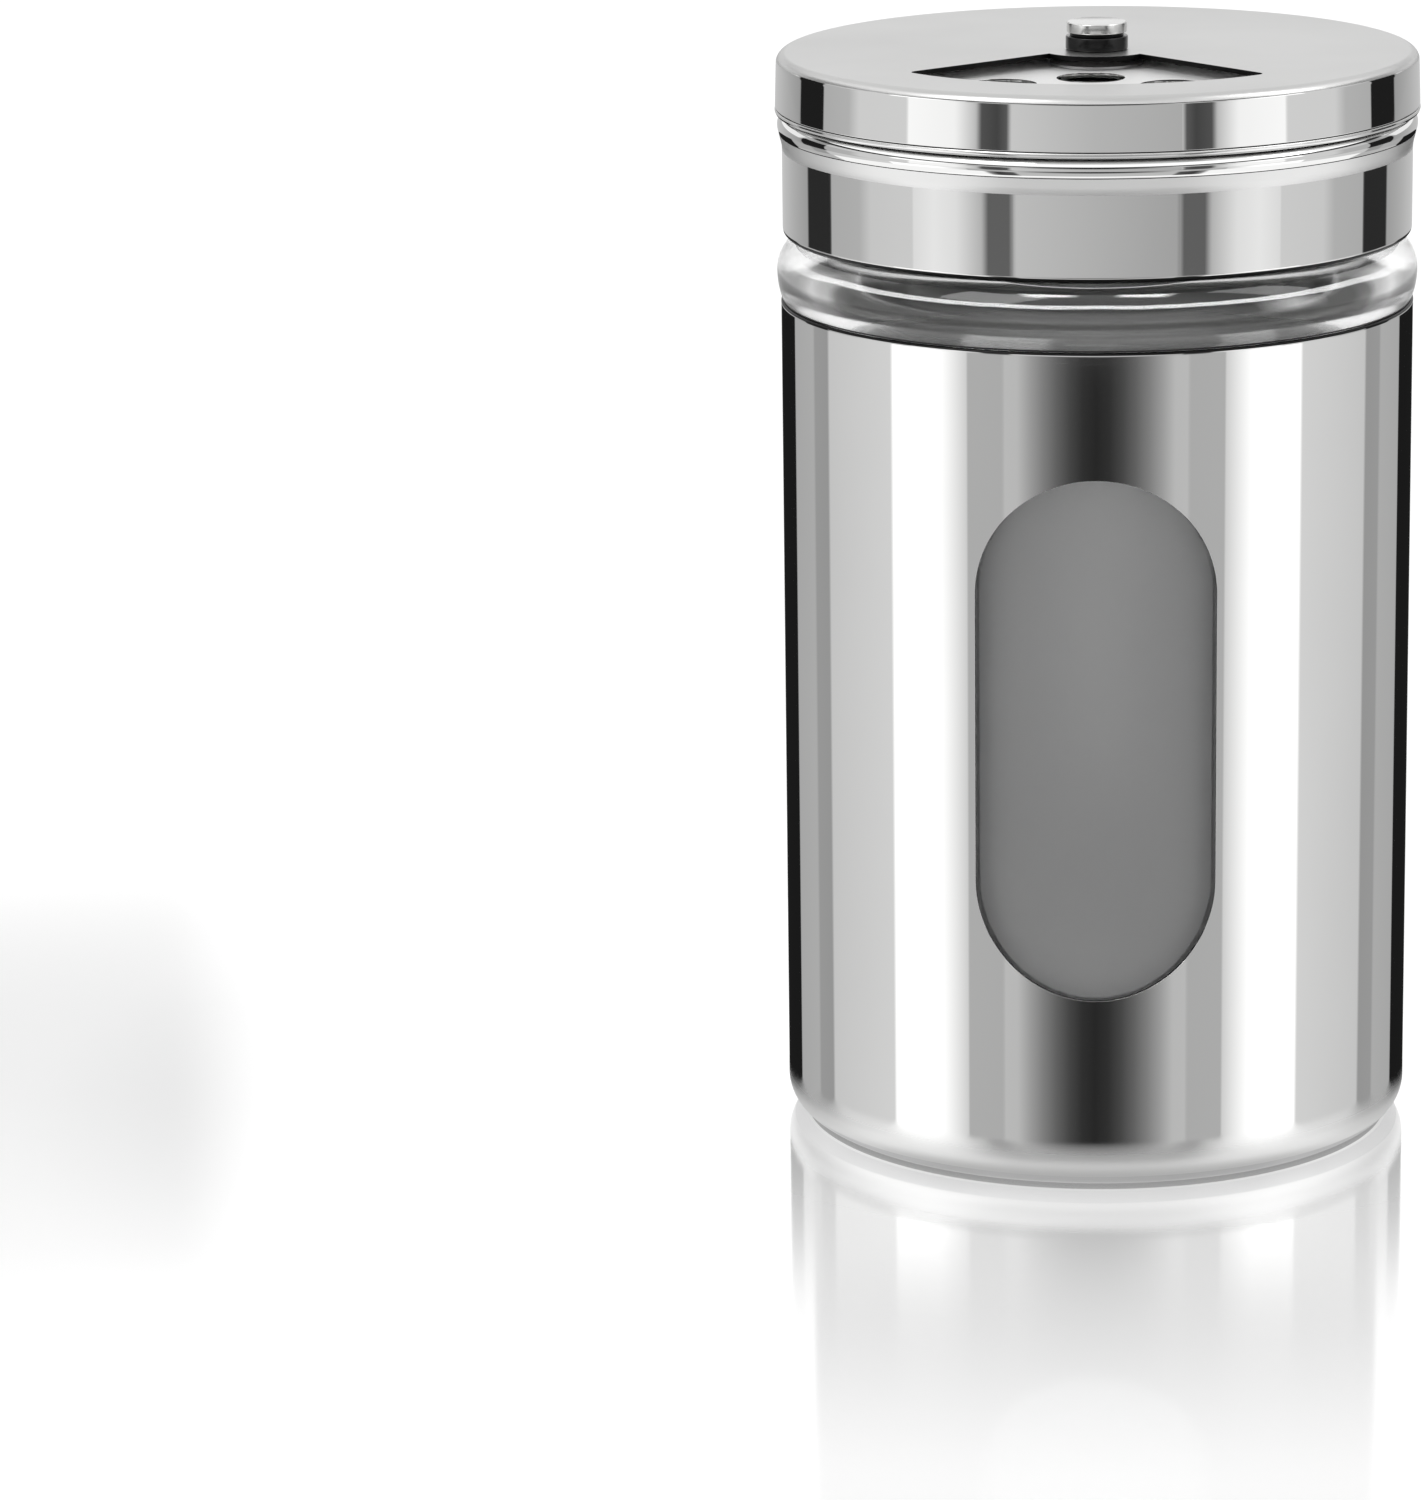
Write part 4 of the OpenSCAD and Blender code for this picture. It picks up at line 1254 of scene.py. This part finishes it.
def studio_world(settings):
    """White for what the camera and the glass see, plain light for what is matt, and the boards for
    what is mirrored."""
    world = bpy.data.worlds.new("studio")
    bpy.context.scene.world = world
    world.use_nodes = True
    world.cycles.sampling_method = "NONE"
    tree = world.node_tree
    tree.nodes.clear()
    ray = node(tree, "ShaderNodeLightPath").outputs
    direction = node(tree, "ShaderNodeTexCoord").outputs["Generated"]
    way = node(tree, "ShaderNodeSeparateXYZ", {"Vector": direction}).outputs
    aside = maths(tree, "ARCTAN2", way["X"], maths(tree, "MULTIPLY", way["Y"], -1.0))
    turn = maths(tree, "MULTIPLY", maths(tree, "ABSOLUTE", aside), math.degrees(1))
    rise = maths(tree, "MULTIPLY", maths(tree, "ARCSINE", way["Z"]), math.degrees(1))
    steel, glass = studio_boards(tree, turn, rise, way), glass_boards(tree, turn, rise, way)
    mirrored = blend(tree, ray["Is Singular Ray"], steel, glass)
    plain = blend(tree, ray["Is Glossy Ray"], settings.surround, mirrored)
    open_view = maths(tree, "MAXIMUM", ray["Is Camera Ray"], ray["Is Transmission Ray"])
    seen = blend(tree, open_view, plain, 1.0)
    background = node(tree, "ShaderNodeBackground", {"Color": seen, "Strength": 1.0})
    out = node(tree, "ShaderNodeOutputWorld")
    tree.links.new(background.outputs[0], out.inputs["Surface"])


def floor_material(settings):
    """A pale sheet, glossy round the shaker. Its picture is lifted to white where nothing shades it."""
    material, tree, shader, place = new_material("pale_floor")
    haze = noise(tree, place, (1, 1, 1), 3, 3)
    tinted(tree, shader, settings.floor_colour, haze, 0.985)
    tree.links.new(remap(tree, haze, 0, 1, 0.05, 0.09), shader.inputs["Roughness"])
    # The gloss fades with the distance from the shaker
    away = node(tree, "ShaderNodeVectorMath", {0: place}, operation="LENGTH").outputs["Value"]
    gloss = maths(tree, "POWER", remap(tree, away, 0.03, settings.gloss_reach, 1.0, 0.0), 1.3)
    mirror = maths(tree, "MULTIPLY", gloss, settings.gloss)
    tree.links.new(mirror, shader.inputs["Metallic"])
    ray = node(tree, "ShaderNodeLightPath").outputs
    open_view = maths(tree, "MAXIMUM", ray["Is Camera Ray"], ray["Is Transmission Ray"])
    open_view = maths(tree, "MAXIMUM", open_view, ray["Is Glossy Ray"])
    lifted = maths(tree, "MULTIPLY", open_view, settings.floor_lift)
    lift = node(tree, "ShaderNodeEmission", {"Strength": lifted})
    both = node(tree, "ShaderNodeAddShader", {0: shader.outputs[0], 1: lift.outputs[0]})
    tree.links.new(both.outputs[0], tree.nodes["Material Output"].inputs["Surface"])
    return material


def soft_lamp(name, place, aim, size, power):
    bpy.ops.object.light_add(type="AREA", location=place)
    lamp = bpy.context.object
    lamp.name = name
    lamp.data.shape = "RECTANGLE"
    lamp.data.size, lamp.data.size_y = size
    lamp.data.energy = power
    lamp.rotation_euler = (Vector(aim) - Vector(place)).to_track_quat("-Z", "Y").to_euler()


class SHAKER_OT_stage(bpy.types.Operator):
    """Lays the floor, sets the lamps and surround, and stands the camera where the photograph has it"""

    bl_idname = "shaker.stage"
    bl_label = "Stage"

    key_place, key_size = (-0.55, -0.45, 0.95), (0.5, 0.5)
    fill_place, fill_size = (0.7, -0.1, 0.8), (0.3, 0.6)
    lamp_aim = (0, 0, 0.06)

    def execute(self, context):
        s = context.scene.shaker_stage
        bpy.ops.object.select_all(action="DESELECT")
        bpy.ops.mesh.primitive_plane_add(size=s.floor_size, location=(0, 0, 0))
        floor = context.object
        floor.name = "floor"
        bpy.ops.object.mode_set(mode="EDIT")
        bpy.ops.mesh.subdivide(number_cuts=6)
        bpy.ops.object.mode_set(mode="OBJECT")
        floor.data.materials.append(floor_material(s))
        # Polished walls mirror the boards all the way down, so they do not see the floor
        floor.visible_glossy = False
        soft_lamp("key lamp", self.key_place, self.lamp_aim, self.key_size, s.key_power)
        soft_lamp("fill lamp", self.fill_place, self.lamp_aim, self.fill_size, s.fill_power)
        studio_world(s)
        self.camera(context, s)
        context.scene.view_settings.view_transform = "Standard"
        return {"FINISHED"}

    def camera(self, context, s):
        yaw, pitch, roll = s.camera_yaw, s.camera_pitch, s.camera_roll
        ahead = Vector((-math.sin(yaw) * math.cos(pitch), math.cos(yaw) * math.cos(pitch), -math.sin(pitch)))
        level = Vector((math.cos(yaw), math.sin(yaw), 0))
        upward = level.cross(ahead)
        right = level * math.cos(roll) + upward * math.sin(roll)
        top = upward * math.cos(roll) - level * math.sin(roll)
        bpy.ops.object.camera_add(location=(0, -s.camera_back, s.camera_height))
        camera = context.object
        turn = Matrix((right, top, -ahead)).transposed()
        camera.rotation_euler = turn.to_euler()
        camera.data.lens = s.lens
        camera.data.sensor_width = 36
        camera.data.clip_start = 0.01
        camera.data.clip_end = 50
        context.scene.camera = camera


# Panel and run

PIECE_OPERATORS = (
    SHAKER_OT_steel_sleeve,
    SHAKER_OT_glass_jar,
    SHAKER_OT_lid_base,
    SHAKER_OT_thread_insert,
    SHAKER_OT_seal_ring,
    SHAKER_OT_dial_cap,
    SHAKER_OT_pivot_rivet,
    SHAKER_OT_washers,
    SHAKER_OT_stage,
)


class SHAKER_PT_panel(bpy.types.Panel):
    """Lists the shaker's pieces and their sizes"""

    bl_idname = "SHAKER_PT_panel"
    bl_label = "Spice shaker"
    bl_space_type = "VIEW_3D"
    bl_region_type = "UI"
    bl_category = "Shaker"

    def draw(self, context):
        column = self.layout.column(align=True)
        for operator in PIECE_OPERATORS:
            column.operator(operator.bl_idname)
        for name, group in SETTINGS.items():
            box = self.layout.box()
            box.label(text=name.replace("shaker_", "").title())
            for field in group.__annotations__:
                box.prop(getattr(context.scene, name), field)


CLASSES = (*SETTINGS.values(), *PIECE_OPERATORS, SHAKER_PT_panel)


def register():
    for item in CLASSES:
        bpy.utils.register_class(item)
    for name, group in SETTINGS.items():
        setattr(bpy.types.Scene, name, bpy.props.PointerProperty(type=group))


def unregister():
    for name in SETTINGS:
        delattr(bpy.types.Scene, name)
    for item in reversed(CLASSES):
        bpy.utils.unregister_class(item)


def main():
    register()
    bpy.ops.shaker.steel_sleeve()
    bpy.ops.shaker.glass_jar()
    bpy.ops.shaker.lid_base()
    bpy.ops.shaker.thread_insert()
    bpy.ops.shaker.seal_ring()
    bpy.ops.shaker.dial_cap()
    bpy.ops.shaker.pivot_rivet()
    bpy.ops.shaker.washers()
    bpy.ops.shaker.stage()


if __name__ == "__main__":
    main()
